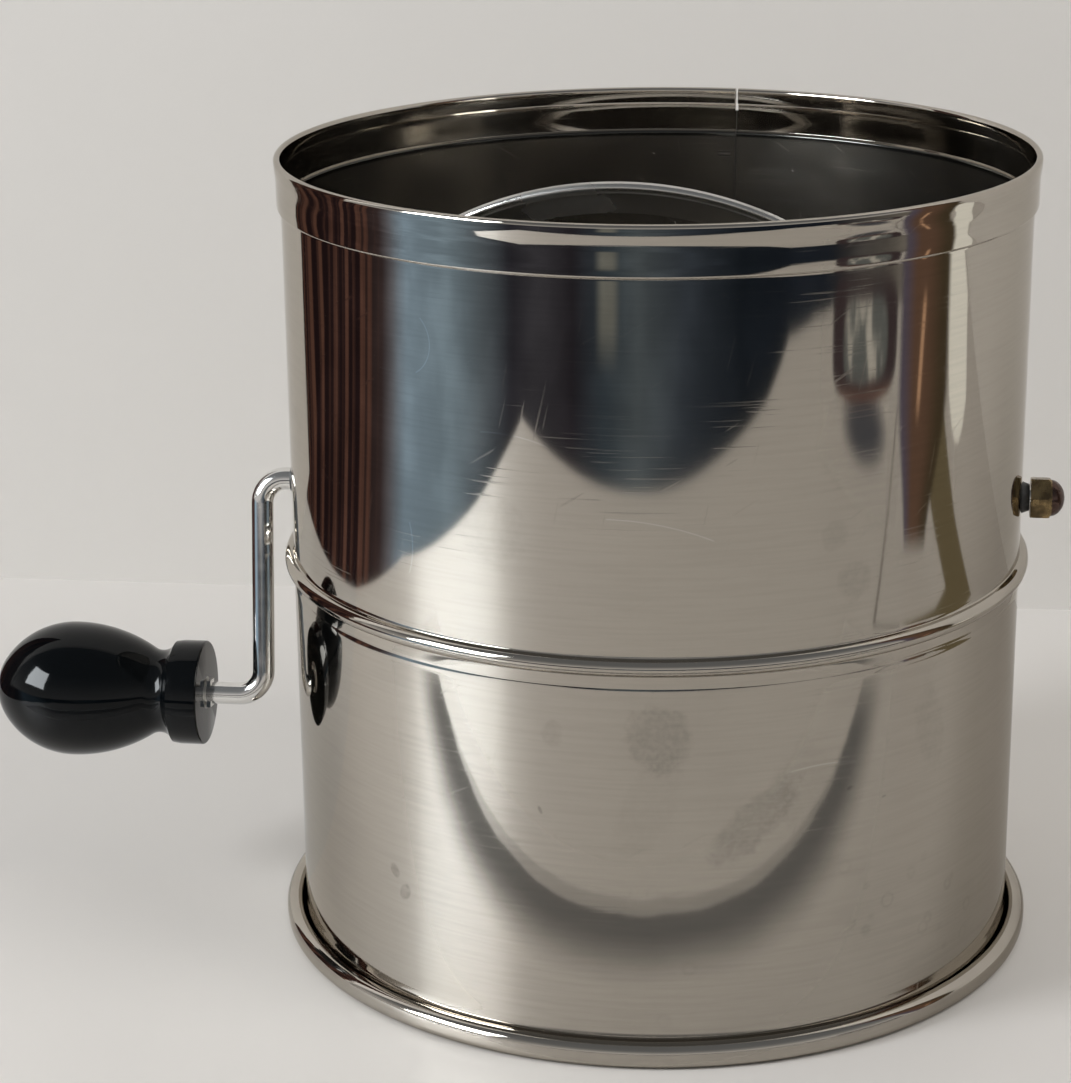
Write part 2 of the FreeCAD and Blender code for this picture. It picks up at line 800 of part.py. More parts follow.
def make_knob(document):
    """A turned pear grip: collar, neck and belly, hollow for its liner and push nut."""
    body = new_body(document, "knob")
    zero = as_size(0)
    length = size("knob_length")
    collar = size("collar_radius")
    edge = size("collar_edge")
    crest = size("belly_radius")
    crest_place = size("belly_place")
    nose = size("nose_radius")
    nose_centre = (length - nose, zero)
    gap = nose_centre[0] - crest_place
    rear = (gap * gap + crest * crest - nose * nose) / (2 * (crest - nose))
    rear_centre = (crest_place, crest - rear)
    nose_touch = toward(rear_centre, nose_centre, rear / (rear - nose))

    front = size("belly_front_bend")
    front_centre = (crest_place, crest - front)
    waist = size("neck_radius")
    waist_place = size("neck_place")
    away = crest_place - waist_place
    lift = front - crest + waist
    neck = (away * away + lift * lift - front * front) / (2 * (front - lift))
    neck_centre = (waist_place, waist + neck)
    neck_touch = toward(neck_centre, front_centre, neck / (front + neck))
    rise = size("neck_start_radius") - neck_centre[1]
    neck_start = (neck_centre[0] - (neck * neck - rise * rise).root(), size("neck_start_radius"))

    bore = size("liner_radius")
    chamber = size("chamber_radius")
    depth = size("liner_length")
    chamber_end = depth + size("chamber_length")

    outline = Outline((zero, bore))
    outline.line_to((depth, bore))
    outline.line_to((depth, chamber))
    outline.line_to((chamber_end, chamber))
    outline.line_to((chamber_end, zero))
    outline.line_to((length, zero))
    outline.arc_to(nose_touch, nose_centre, False)
    outline.arc_to((crest_place, crest), rear_centre, False)
    outline.arc_to(neck_touch, front_centre, False)
    outline.arc_to(neck_start, neck_centre, True)
    outline.line_to((size("collar_width"), collar))
    outline.line_to((edge, collar))
    outline.arc_to((zero, collar - edge), (edge, collar - edge), False)
    outline.close()
    sketch = new_sketch(body, "section", "XZ_Plane")
    outline.draw(sketch)
    revolve(body, sketch, "H_Axis")
    set_on_leg(body)
    return body


def make_leg_ring(document, name, span, bore, outside):
    """A plain ring about the crank's leg, at distances from the knob's collar face."""
    body = new_body(document, name)
    sketch = new_sketch(body, "section", "XZ_Plane")
    box_outline((span[0], bore), (span[1], outside)).draw(sketch)
    revolve(body, sketch, "H_Axis")
    set_on_leg(body)
    return body


def make_knob_fittings(document):
    rod = size("rod_radius")
    depth = size("liner_length")
    liner = make_leg_ring(document, "knob_liner", (as_size(0), depth),
                          rod + size("running_gap"), size("liner_radius"))
    start = depth + size("push_nut_gap")
    push_nut = make_leg_ring(document, "knob_push_nut", (start, start + size("push_nut_gauge")),
                             rod, size("push_nut_radius"))
    return [liner, push_nut]


def make_sheet(document):
    sheet = document.addObject("Spreadsheet::Sheet", SHEET)
    for row, (name, value) in enumerate(SIZES.items(), start=1):
        sheet.set(f"A{row}", name)
        sheet.set(f"B{row}", str(value))
        sheet.setAlias(f"B{row}", name)
    document.recompute()


def faults(document, parts):
    """What went wrong in the recompute, as a list of plain sentences."""
    found = []
    for item in document.Objects:
        if "Invalid" in item.State or "Error" in item.State:
            found.append(f"{item.Label} did not recompute: {item.State}")
    for part in parts:
        if part.Shape.isNull() or not part.Shape.isValid() or not part.Shape.Solids:
            found.append(f"{part.Label} has no valid solid")
    return found


def main():
    document = FreeCAD.newDocument("flour_sifter")
    make_sheet(document)
    parts = [make_body_shell(document), make_sieve(document), make_binding_ring(document),
             make_crank_rod(document)]
    parts += [make_blade(document, number) for number in (1, 2, 3, 4)]
    for end in ("left", "right"):
        parts += [make_hub(document, end), make_drive_pin(document, end),
                  make_spacer(document, end), make_bushing(document, end)]
    parts += [make_acorn_nut(document), make_knob(document)]
    parts += make_knob_fittings(document)
    document.recompute()

    problems = faults(document, parts)
    if problems:
        raise RuntimeError("; ".join(problems))
    os.makedirs("parts", exist_ok=True)
    for part in parts:
        part.Shape.exportStep(os.path.join("parts", f"{part.Label}.step"))
        box = part.Shape.BoundBox
        print(f"{part.Label}: {len(part.Shape.Solids)} solid, {part.Shape.Volume:.1f} mm3, "
              f"x {box.XMin:.2f} {box.XMax:.2f} y {box.YMin:.2f} {box.YMax:.2f} "
              f"z {box.ZMin:.2f} {box.ZMax:.2f}")


main()
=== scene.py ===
"""A rotary flour sifter in polished sheet steel, dressed around its CAD frame."""
import json
import math

import bmesh
import bpy
from mathutils import Matrix, Vector

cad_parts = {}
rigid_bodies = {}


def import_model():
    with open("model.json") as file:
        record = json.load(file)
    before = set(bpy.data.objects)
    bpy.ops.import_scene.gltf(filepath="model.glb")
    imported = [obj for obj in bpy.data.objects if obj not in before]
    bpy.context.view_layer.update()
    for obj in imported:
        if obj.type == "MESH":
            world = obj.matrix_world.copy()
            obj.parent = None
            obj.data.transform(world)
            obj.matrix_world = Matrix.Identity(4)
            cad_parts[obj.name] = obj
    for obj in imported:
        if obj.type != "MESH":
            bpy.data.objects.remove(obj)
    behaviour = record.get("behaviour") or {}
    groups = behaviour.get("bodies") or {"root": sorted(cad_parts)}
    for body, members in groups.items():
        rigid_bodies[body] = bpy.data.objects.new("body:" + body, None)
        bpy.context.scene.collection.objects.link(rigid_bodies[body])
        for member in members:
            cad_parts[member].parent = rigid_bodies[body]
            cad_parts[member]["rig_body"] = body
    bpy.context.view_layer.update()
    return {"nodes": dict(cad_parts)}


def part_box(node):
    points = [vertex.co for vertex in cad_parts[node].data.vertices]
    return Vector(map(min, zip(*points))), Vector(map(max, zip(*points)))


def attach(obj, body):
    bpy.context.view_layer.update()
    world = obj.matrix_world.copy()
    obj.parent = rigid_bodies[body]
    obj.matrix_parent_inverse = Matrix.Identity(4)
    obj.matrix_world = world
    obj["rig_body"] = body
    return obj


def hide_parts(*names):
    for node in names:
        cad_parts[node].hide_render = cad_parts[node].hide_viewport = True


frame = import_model()

MM = 0.001
STEEL = (0.53, 0.495, 0.445)

# Places and sizes that the frame gives
_, SHELL_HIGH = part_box("body_shell")
RING_LOW, RING_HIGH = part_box("sieve_binding_ring")
HUB_LOW, HUB_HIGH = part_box("hub_left")
SIEVE_LOW, SIEVE_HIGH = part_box("sieve_bowl")
NUT_LOW, NUT_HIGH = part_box("acorn_nut")
NUT_LENGTH = NUT_HIGH.x - NUT_LOW.x
FOOT_RADIUS = SHELL_HIGH.x
BODY_HEIGHT = SHELL_HIGH.z
BEAD_HEIGHT = (RING_LOW.z + RING_HIGH.z) / 2
CRANK_HEIGHT = (HUB_LOW.z + HUB_HIGH.z) / 2

# The rolled sheet
GAUGE = 0.5 * MM
WALL_RADIUS = 76.0 * MM
FOOT_BEND = 1.8 * MM
FOOT_LIP = 1.2 * MM
FOOT_TOP = 5.2 * MM
BEAD_CREST = 1.45 * MM
BEAD_FILLET = 0.55 * MM
BEAD_PROUD = 1.84 * MM
BAND_STEP = 0.9 * MM
BAND_FLARE = 0.36 * MM
JOGGLE_START = 156.0 * MM
JOGGLE_TURN = 75.0
JOGGLE_BEND = 0.32 * MM
HEM_BEND = 0.5 * MM
HEM_TAIL = 2.6 * MM
# How finely the bends are drawn: the foot's, the fillets', the bead's, the joggle's, the hem's
FOOT_STEPS, FILLET_STEPS, CREST_STEPS, JOGGLE_STEPS, HEM_STEPS = 8, 5, 18, 6, 10
WALL_STEP = 8 * MM
LAP_STEPS, WALL_STEPS = 8, 352

# The lap and the rim slit at the seam
SEAM_ANGLE = math.radians(81.0)
SLIT_FOOT = BODY_HEIGHT - 5.0 * MM
SLIT_TURN = 0.65 * MM / WALL_RADIUS
LAP_WIDTH = 8.0 * MM
LAP_STEP = 0.45 * MM
LAP_TUCK = 0.12 * MM
LAP_CUT = 0.05 * MM
LAP_ENDS = (8.0 * MM, 76.0 * MM, 84.8 * MM, 155.6 * MM)
# Points of the rolled sheet, and of a piece taken from the frame, that are one when this close
MERGED = 4e-6
WELDED = 2e-7

# The rim band's flare: share of its height, share of its flare
FLARE_SHARES = ((0.25, 0.0), (0.5, 0.0), (0.6, 0.07), (0.7, 0.32), (0.8, 0.64), (0.9, 0.92))
# The wall's flare over the foot: height, spread
FOOT_FLARE = ((4.3 * MM, 0.35 * MM), (4.8 * MM, 0.31 * MM), (5.3 * MM, 0.21 * MM),
              (5.8 * MM, 0.10 * MM), (6.3 * MM, 0.03 * MM), (6.8 * MM, 0.0))
# The groove under the bead: distance below its fillet, depth
GROOVE = ((2.60 * MM, 0.0), (2.48 * MM, 0.022 * MM), (2.35 * MM, 0.034 * MM),
          (1.6 * MM, 0.045 * MM), (0.5 * MM, 0.03 * MM))
# Half the wall that is kept free of other rings at the crank's height
HOLE_ROOM = 4.0 * MM

# Marks of the making, drawn in the sheet's finish, and the painted shade and highlights drawn
# with them
# Half the width of the strip at the seam, which is rougher, as sheared steel, and painted
# near-black, as shade in the lap's edge and the slit
SHEARED_AND_SHADED_HALF = 0.12 * MM
# Painted shade along the inside corner of the joggle: its height, and how it fades
JOGGLE_SHADE_HEIGHT = 156.4 * MM
JOGGLE_SHADE_FADE = (0.7 * MM, 1.3 * MM)
CLINCH_HEIGHT = 151.5 * MM
CLINCH_BESIDE = 2.6 * MM
CLINCH_HALF = (1.4 * MM, 0.65 * MM)
CLINCH_RIBS = 12 / MM
SCORE_FADE = (0.05 * MM, 0.16 * MM)
PRINT_RAGGED = 2.2
PRINT_FADE = (0.55, 1.35)
LINE_SOFTNESS = 0.05
GRAIN_ALONG, GRAIN_ACROSS = 45, 1100
# How much each mark roughens the steel, and how much each mark, or the painted shade inside the
# body, darkens it
ROUGHENS = {"polish": 0.04, "film": 0.025, "smudge": 0.05, "spots": 0.05,
            "inside": 0.14, "band": 0.08, "sheared_and_shaded": 0.4}
DARKENS_BY_MARK_AND_SHADE = {"smudge": 0.22, "spots": 0.3, "grain": 0.22,
           "inside": 0.20, "band": 0.35, "corner": 0.8}
# How far the scores are painted towards the highlight colour, as a glint along them
SCORE_GLINT = 0.42
# The colour of the painted shade inside the body
INSIDE_SHADE_STEEL = (0.07, 0.07, 0.065)
# The near-black of the painted shade along the seam
SEAM_SHADE_STEEL = (0.05, 0.045, 0.04)
# Painted shade on the clinch mark's ribs
RIB_SHADE = (0.03, 0.03, 0.03)
# Painted highlight on the clinch mark's ribs, and painted glint along the scores
HIGHLIGHT_STEEL = (0.75, 0.74, 0.72)
# Hairlines: direction, spacing, length, sparseness, place in the noise, how much they roughen
HAIRLINES = (
    (0.0, 0.45 * MM, 22 * MM, 0.70, 3.0, 0.04),
    (0.55, 1.1 * MM, 14 * MM, 0.77, 9.0, 0.06),
    (1.35, 0.9 * MM, 18 * MM, 0.76, 27.0, 0.06),
)

# Finger marks on the front: bearing in degrees, height, half sizes in mm, lean, strength
FINGER_MARKS = (
    (-84.4, 67.7, 6.4, 7.0, 0.0, 0.5),
    (-70.5, 50.0, 11.5, 4.2, 0.75, 0.5),
    (-62.0, 55.0, 7.0, 9.0, 0.3, 0.16),
    (-55.5, 96.2, 3.6, 4.0, 0.2, 0.35),
    (-59.0, 105.5, 2.8, 3.0, 0.0, 0.25),
    (-109.0, 107.0, 6.5, 7.5, 0.0, 0.22),
    (-86.0, 54.0, 5.0, 12.0, -0.4, 0.15),
    (-100.0, 68.0, 2.2, 2.6, 0.0, 0.3),
    (-128.0, 31.5, 1.1, 1.6, 0.6, 0.9),
    (-125.9, 27.5, 1.3, 2.0, -0.5, 0.8),
    (-55.5, 54.0, 0.7, 0.35, 0.3, 1.0),
    (-49.2, 50.5, 0.6, 0.3, 0.2, 1.0),
    (-101.9, 51.9, 0.35, 0.8, 0.4, 0.9),
    (-40.0, 62.0, 4.0, 9.0, 0.2, 0.25),
    (75.0, 60.0, 9.0, 7.0, 0.4, 0.35),
    (100.0, 120.0, 7.0, 9.0, 0.0, 0.3),
)
# Curved scores: bearing and height of the centre, bend radius in mm, sweep in degrees
SCORES = (
    (-123.5, 141.0, 6.5, -62.0, 48.0),
    (-92.0, 62.0, 49.0, 66.0, 90.0),
    (-135.0, 101.0, 16.5, -20.0, 16.0),
    (-108.0, 96.0, 30.0, 70.0, 96.0),
    (-60.0, 20.0, 40.0, 80.0, 100.0),
)

# The table's edge as the steel shows it, and the wall behind
TABLE_CORNERS = ((-0.30, 0.20), (-0.31, 0.0), (-0.34, -0.12), (-0.29, -0.455),
                 (0.33, -0.462), (0.442, -0.489), (0.526, -0.444), (0.604, -0.379),
                 (0.635, -0.309), (0.662, -0.231), (0.673, -0.158), (0.689, -0.125),
                 (0.72, 0.0), (0.90, 0.20))
WALL_PLACE = 0.205
REAR_PLACE = WALL_PLACE - 0.2 * MM
PANEL_PLACE = WALL_PLACE - 2 * MM
# How far the flat cards lie over the table, from the lowest to the highest
SHADE_LIFT, EDGE_LIFT, CARD_LIFT, ROOM_LIFT = 0.2 * MM, 0.3 * MM, 0.4 * MM, 0.5 * MM
ROOM_REACH = 30
STRAP_CORNERS = ((0.52, -0.04), (0.44, -0.016), (0.39, 0.0), (0.344, 0.018), (0.318, 0.027),
                 (0.304, 0.0), (0.294, -0.073), (0.288, -0.015), (0.283, 0.057), (0.285, 0.089),
                 (0.327, 0.079), (0.374, 0.066), (0.447, 0.056), (0.52, 0.045))
LIT_CORNERS = ((0.456, 0.096), (0.462, 0.083), (0.480, 0.075), (0.523, 0.070), (0.678, 0.088),
               (0.88, 0.11), (0.88, 0.20), (0.66, 0.195), (0.499, 0.142), (0.467, 0.115))
SIDE_CORNERS = ((0.283, -0.1235), (0.52, -0.123), (0.52, -0.1195), (0.286, -0.1195))
END_CORNERS = ((0.283, -0.1235), (0.286, -0.1195), (0.293, -0.073), (0.290, -0.073))
# What the table gives back, by its bearing, and the room by its height, as steel shows them
TABLE_BEARINGS = (
    (0.00, (1.00, 1.00, 1.00)),
    (0.05, (1.00, 1.00, 1.00)),
    (0.12, (0.94, 0.95, 0.96)),
    (0.18, (0.82, 0.81, 0.80)),
    (0.25, (0.78, 0.77, 0.75)),
    (0.40, (0.72, 0.71, 0.69)),
    (0.60, (0.76, 0.75, 0.74)),
    (0.80, (0.74, 0.73, 0.72)),
    (0.92, (0.96, 0.98, 1.00)),
)
ROOM_HEIGHTS = (
    (0.00, (0.60, 0.58, 0.56)),
    (0.20, (0.44, 0.43, 0.42)),
    (0.42, (0.25, 0.25, 0.25)),
    (0.62, (0.17, 0.175, 0.18)),
    (0.90, (0.16, 0.165, 0.17)),
)
FILL_COLOUR = (0.46, 0.46, 0.46)
LAMP_AIM = Vector((0, 0, 0.05))

# The slatted wood: slats in a whole turn, and the shares of a turn where it starts and ends
SLATS_ROUND = 130
SLATS_FROM, SLATS_TO = 0.84, 0.026
WOOD_DARK, WOOD_PALE = (0.018, 0.010, 0.011), (0.13, 0.065, 0.048)
# The pale streak in the room: its share of a turn, its half width and where it starts
STREAK_TURN = 0.2265
STREAK_FADE = (0.003, 0.011)
STREAK_START = (0.60, 0.70)
# The board's front edge: its place, where and how it slants, and the shadow's bow beyond it
BOARD_PLACE, BOARD_KNEE, BOARD_SLANT = -0.151, 0.02, 0.13
BOW_HALF, BOW_DEPTH = 0.20, 0.0085
BOW_SHADE = (0.008, 0.038)
BOW_ENDS = (0.20, 0.27)
# The jar's middle and half sizes across and up, and those of the shadow at its foot
JAR_MIDDLE, JAR_HALF = (-0.222, 0.028), (0.092, 0.0225)
POOL_MIDDLE, POOL_HALF = (0.468, -0.215), (0.058, 0.082)
# The post: its half width and middle at the foot, and how much both grow up to this height
POST_HALF, POST_MIDDLE = 0.026, -0.050
POST_WIDENS, POST_SHIFTS, POST_GROWN = 0.034, 0.012, 0.05

# The woven sieve
WIRE_RADIUS = 0.15 * MM
WIRE_PITCH = 1.9 * MM
WIRE_INSET = 0.3 * MM
WEAVE_SHARE = 0.9

# Colours that stand round the table, by their share of a turn from -X, through -Y and +X
ROOM_BEARINGS = (
    (0.00, (0.016, 0.009, 0.009)),
    (0.028, (0.05, 0.035, 0.035)),
    (0.038, (0.13, 0.13, 0.15)),
    (0.055, (0.26, 0.36, 0.46)),
    (0.095, (0.22, 0.30, 0.37)),
    (0.125, (0.12, 0.15, 0.18)),
    (0.15, (0.026, 0.026, 0.034)),
    (0.17, (0.05, 0.05, 0.06)),
    (0.20, (0.024, 0.022, 0.028)),
    (0.225, (0.04, 0.055, 0.07)),
    (0.25, (0.085, 0.105, 0.12)),
    (0.285, (0.04, 0.05, 0.065)),
    (0.33, (0.011, 0.015, 0.021)),
    (0.40, (0.012, 0.016, 0.024)),
    (0.50, (0.22, 0.20, 0.17)),
    (0.62, (0.30, 0.28, 0.25)),
    (0.80, (0.28, 0.26, 0.24)),
    (0.86, (0.018, 0.010, 0.011)),
)


def arc(centre, radius, first, last, steps):
    """Points along an arc, between two angles in degrees."""
    points = []
    for step in range(steps + 1):
        angle = math.radians(first + (last - first) * step / steps)
        points.append((centre[0] + radius * math.cos(angle),
                       centre[1] + radius * math.sin(angle)))
    return points


def upright(radius, heights):
    """Points up a straight stretch of wall through these heights, without its two ends.

    Each height between the ends is given twice, a hair apart, so that a lap can stop there.
    """
    points = []
    for low, high in zip(heights, heights[1:]):
        count = max(1, round((high - low) / WALL_STEP))
        points += [(radius, low + (high - low) * step / count) for step in range(count)]
        points.append((radius, high - LAP_CUT))
    return points[1:-1]


def new_piece(name, mesh_or_bmesh, body, material):
    """A finished piece: its mesh, the body it rides on and its material."""
    mesh = mesh_or_bmesh
    if isinstance(mesh_or_bmesh, bmesh.types.BMesh):
        mesh = bpy.data.meshes.new(name)
        mesh_or_bmesh.to_mesh(mesh)
        mesh_or_bmesh.free()
    mesh.materials.clear()
    mesh.materials.append(material)
    piece = bpy.data.objects.new(name, mesh)
    bpy.context.scene.collection.objects.link(piece)
    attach(piece, body)
    return piece


def smooth(mesh, crease=40.0):
    """Smooth shading, broken where two faces meet at a sharp corner."""
    for polygon in mesh.polygons:
        polygon.use_smooth = True
    edit = bmesh.new()
    edit.from_mesh(mesh)
    for edge in edit.edges:
        if edge.is_manifold:
            edge.smooth = edge.calc_face_angle(0.0) < math.radians(crease)
    edit.to_mesh(mesh)
    edit.free()


# ---------------------------------------------------------------- shader maths

# Where a Mix node keeps its factor, its two colours and its coloured result
MIX_FACTOR, MIX_FIRST, MIX_SECOND, MIX_RESULT = 0, 6, 7, 2


class Value:
    """A socket of a finish's node tree, with arithmetic that adds Math nodes."""

    def __init__(self, finish, socket):
        self.finish = finish
        self.socket = socket

    def maths(self, operation, *others):
        """A Math node with this value first and the others after it."""
        inputs = dict(enumerate((self, *others)))
        return self.finish.node("Math", {"operation": operation}, inputs)

    def __add__(self, other):
        return self.maths("ADD", other)

    def __radd__(self, other):
        return self.maths("ADD", other)

    def __mul__(self, other):
        return self.maths("MULTIPLY", other)

    def __sub__(self, other):
        return self.maths("SUBTRACT", other)

    def __rsub__(self, other):
        return self.finish.node("Math", {"operation": "SUBTRACT"}, {0: other, 1: self})

    def __truediv__(self, other):
        return self.maths("DIVIDE", other)

    def __pow__(self, other):
        return self.maths("POWER", other)

    def above(self, edge):
        """1 where the value is over the edge, else 0."""
        return self.maths("GREATER_THAN", edge)

    def below(self, edge):
        """1 where the value is under the edge, else 0."""
        return self.maths("LESS_THAN", edge)

    def ramp(self, low, high):
        """0 up to low, 1 from high on, and a smooth rise between."""
        return self.finish.node("MapRange", {"interpolation_type": "SMOOTHSTEP"}, {
            "Value": self, "From Min": low, "From Max": high})


class Finish:
    """A material with one Principled shader, read in the piece's own coordinates."""

    def __init__(self, name, colour, metallic, roughness):
        self.material = bpy.data.materials.new(name)
        self.material.use_nodes = True
        self.tree = self.material.node_tree
        self.shader = self.tree.nodes["Principled BSDF"]
        self.set("Base Color", (*colour, 1.0))
        self.set("Metallic", metallic)
        self.set("Roughness", roughness)
        self.place = self.node("TexCoord", {}, {}, "Object")

    def node(self, kind, settings, inputs, output=0):
        """Adds a node: its settings first, then values or links into its sockets."""
        made = self.tree.nodes.new(f"ShaderNode{kind}")
        for name, value in settings.items():
            if name == "stops":
                self.set_stops(made.color_ramp, value)
            else:
                setattr(made, name, value)
        for key, value in inputs.items():
            self.join(made.inputs[key], value)
        return Value(self, made.outputs[output])

    def set_stops(self, ramp, stops):
        """Fills a colour ramp from pairs of a position and a colour."""
        while len(ramp.elements) < len(stops):
            ramp.elements.new(1.0)
        for element, (position, colour) in zip(ramp.elements, stops):
            element.position = position
            element.color = (*colour, 1.0)

    def join(self, socket, value):
        """Links a value into a socket, or sets a constant on it."""
        if isinstance(value, Value):
            self.tree.links.new(value.socket, socket)
        else:
            socket.default_value = value

    def set(self, name, value):
        """Gives the shader this input."""
        self.join(self.shader.inputs[name], value)

    def noise(self, scale, detail=2.0, stretch=(1.0, 1.0, 1.0), roughness=0.5):
        """Noise in the piece's own coordinates; scale is in cycles per metre."""
        place = self.node("Mapping", {}, {"Vector": self.place, "Scale": stretch})
        return self.node("TexNoise", {}, {
            "Vector": place, "Scale": scale, "Detail": detail, "Roughness": roughness})

    def patches(self, scale, detail, low, high, stretch=(1.0, 1.0, 1.0)):
        """A mask of cloudy patches: noise that is 0 up to low and 1 from high on."""
        return self.noise(scale, detail, stretch).ramp(low, high)

    def blend(self, mask, first, second):
        """Between two colours, by a mask from 0 to 1."""
        made = self.tree.nodes.new("ShaderNodeMix")
        made.data_type = "RGBA"
        self.join(made.inputs[MIX_FACTOR], mask)
        self.join(made.inputs[MIX_FIRST], self.colour(first))
        self.join(made.inputs[MIX_SECOND], self.colour(second))
        return Value(self, made.outputs[MIX_RESULT])

    def axes(self):
        """The three coordinates of the place."""
        parts = self.node("SeparateXYZ", {}, {"Vector": self.place})
        return [Value(self, parts.socket.node.outputs[axis]) for axis in range(3)]

    def colour(self, value):
        """A colour as a socket takes it."""
        return value if isinstance(value, Value) else (*value, 1.0)

    def bump(self, height, strength, distance, normal=None):
        """A normal bent by a height, on top of another normal if one is given."""
        inputs = {"Height": height, "Strength": strength, "Distance": distance}
        if normal is not None:
            inputs["Normal"] = normal
        return self.node("Bump", {}, inputs)


def hairlines(finish, angle, spacing, length, sparse, seed):
    """A mask of thin hairlines that run one way round the wall and fade along it."""
    x, y, z = finish.axes()
    around = y.maths("ARCTAN2", x) * WALL_RADIUS
    along = around * math.cos(angle) + z * math.sin(angle)
    across = z * math.cos(angle) - around * math.sin(angle)
    place = finish.node("CombineXYZ", {}, {0: along / length + seed, 1: across / spacing})
    lines = finish.node("TexNoise", {"noise_dimensions": "2D"}, {
        "Vector": place, "Scale": 1.0, "Detail": 1.0})
    return lines.ramp(sparse, sparse + LINE_SOFTNESS)


def finger_marks(finish, around, height):
    """A mask of the finger marks: ovals with ragged edges and ridges across them."""
    ragged = (finish.noise(330.0, 5.0, roughness=0.6) - 0.5) * PRINT_RAGGED
    ridges = finish.patches(scale=900.0, detail=3.0, low=0.35, high=0.65) * 0.5 + 0.6
    marks = 0.0
    for bearing, middle, wide, tall, lean, depth in FINGER_MARKS:
        u = around - math.radians(bearing) * WALL_RADIUS
        v = height - middle * MM
        long = (u * math.cos(lean) + v * math.sin(lean)) / (wide * MM)
        short = (v * math.cos(lean) - u * math.sin(lean)) / (tall * MM)
        reach = long * long + short * short + ragged
        marks = marks + (1 - reach.ramp(*PRINT_FADE)) * depth
    return marks * ridges


def curved_scores(around, height):
    """A mask of the curved scores, each a thin arc."""
    scores = 0.0
    for bearing, middle, bend, low, high in SCORES:
        u = around - math.radians(bearing) * WALL_RADIUS
        v = height - middle * MM
        off = ((u * u + v * v).maths("SQRT") - bend * MM).maths("ABSOLUTE")
        swept = v.maths("ARCTAN2", u)
        within = swept.above(math.radians(low)) * swept.below(math.radians(high))
        scores = scores + (1 - off.ramp(*SCORE_FADE)) * within
    return scores


def water_spots(finish):
    """A mask of dried water spots, as thin rings in a few places."""
    drops = finish.node("TexVoronoi", {}, {"Vector": finish.place, "Scale": 150.0})
    ring = drops.ramp(0.14, 0.20) * (1 - drops.ramp(0.21, 0.30))
    return ring * finish.patches(scale=11.0, detail=2.0, low=0.60, high=0.68)


def rolled_grain(finish, around, height):
    """A mask of the fine grain that runs round the sheet."""
    place = finish.node("CombineXYZ", {}, {0: around * GRAIN_ALONG, 1: height * GRAIN_ACROSS})
    grain = finish.node("TexNoise", {"noise_dimensions": "2D"}, {
        "Vector": place, "Scale": 1.0, "Detail": 3.0, "Roughness": 0.65})
    return grain.ramp(0.3, 0.8)


def clinched(finish, steel, inside, around, height):
    """The steel's colour with a small ribbed clinch mark beside the lap, inside the rim, its
    ribs painted as stripes of highlight and shade.
    """
    beside = (around - SEAM_ANGLE * WALL_RADIUS - CLINCH_BESIDE).maths("ABSOLUTE")
    within = (height - CLINCH_HEIGHT).maths("ABSOLUTE")
    patch = inside * beside.below(CLINCH_HALF[0]) * within.below(CLINCH_HALF[1])
    # Painted highlight and shade: the ribs are drawn as alternate bright and near-black stripes
    ribs = (within * CLINCH_RIBS).maths("SINE").above(0.0)
    return finish.blend(patch, steel, finish.blend(ribs, RIB_SHADE, HIGHLIGHT_STEEL))


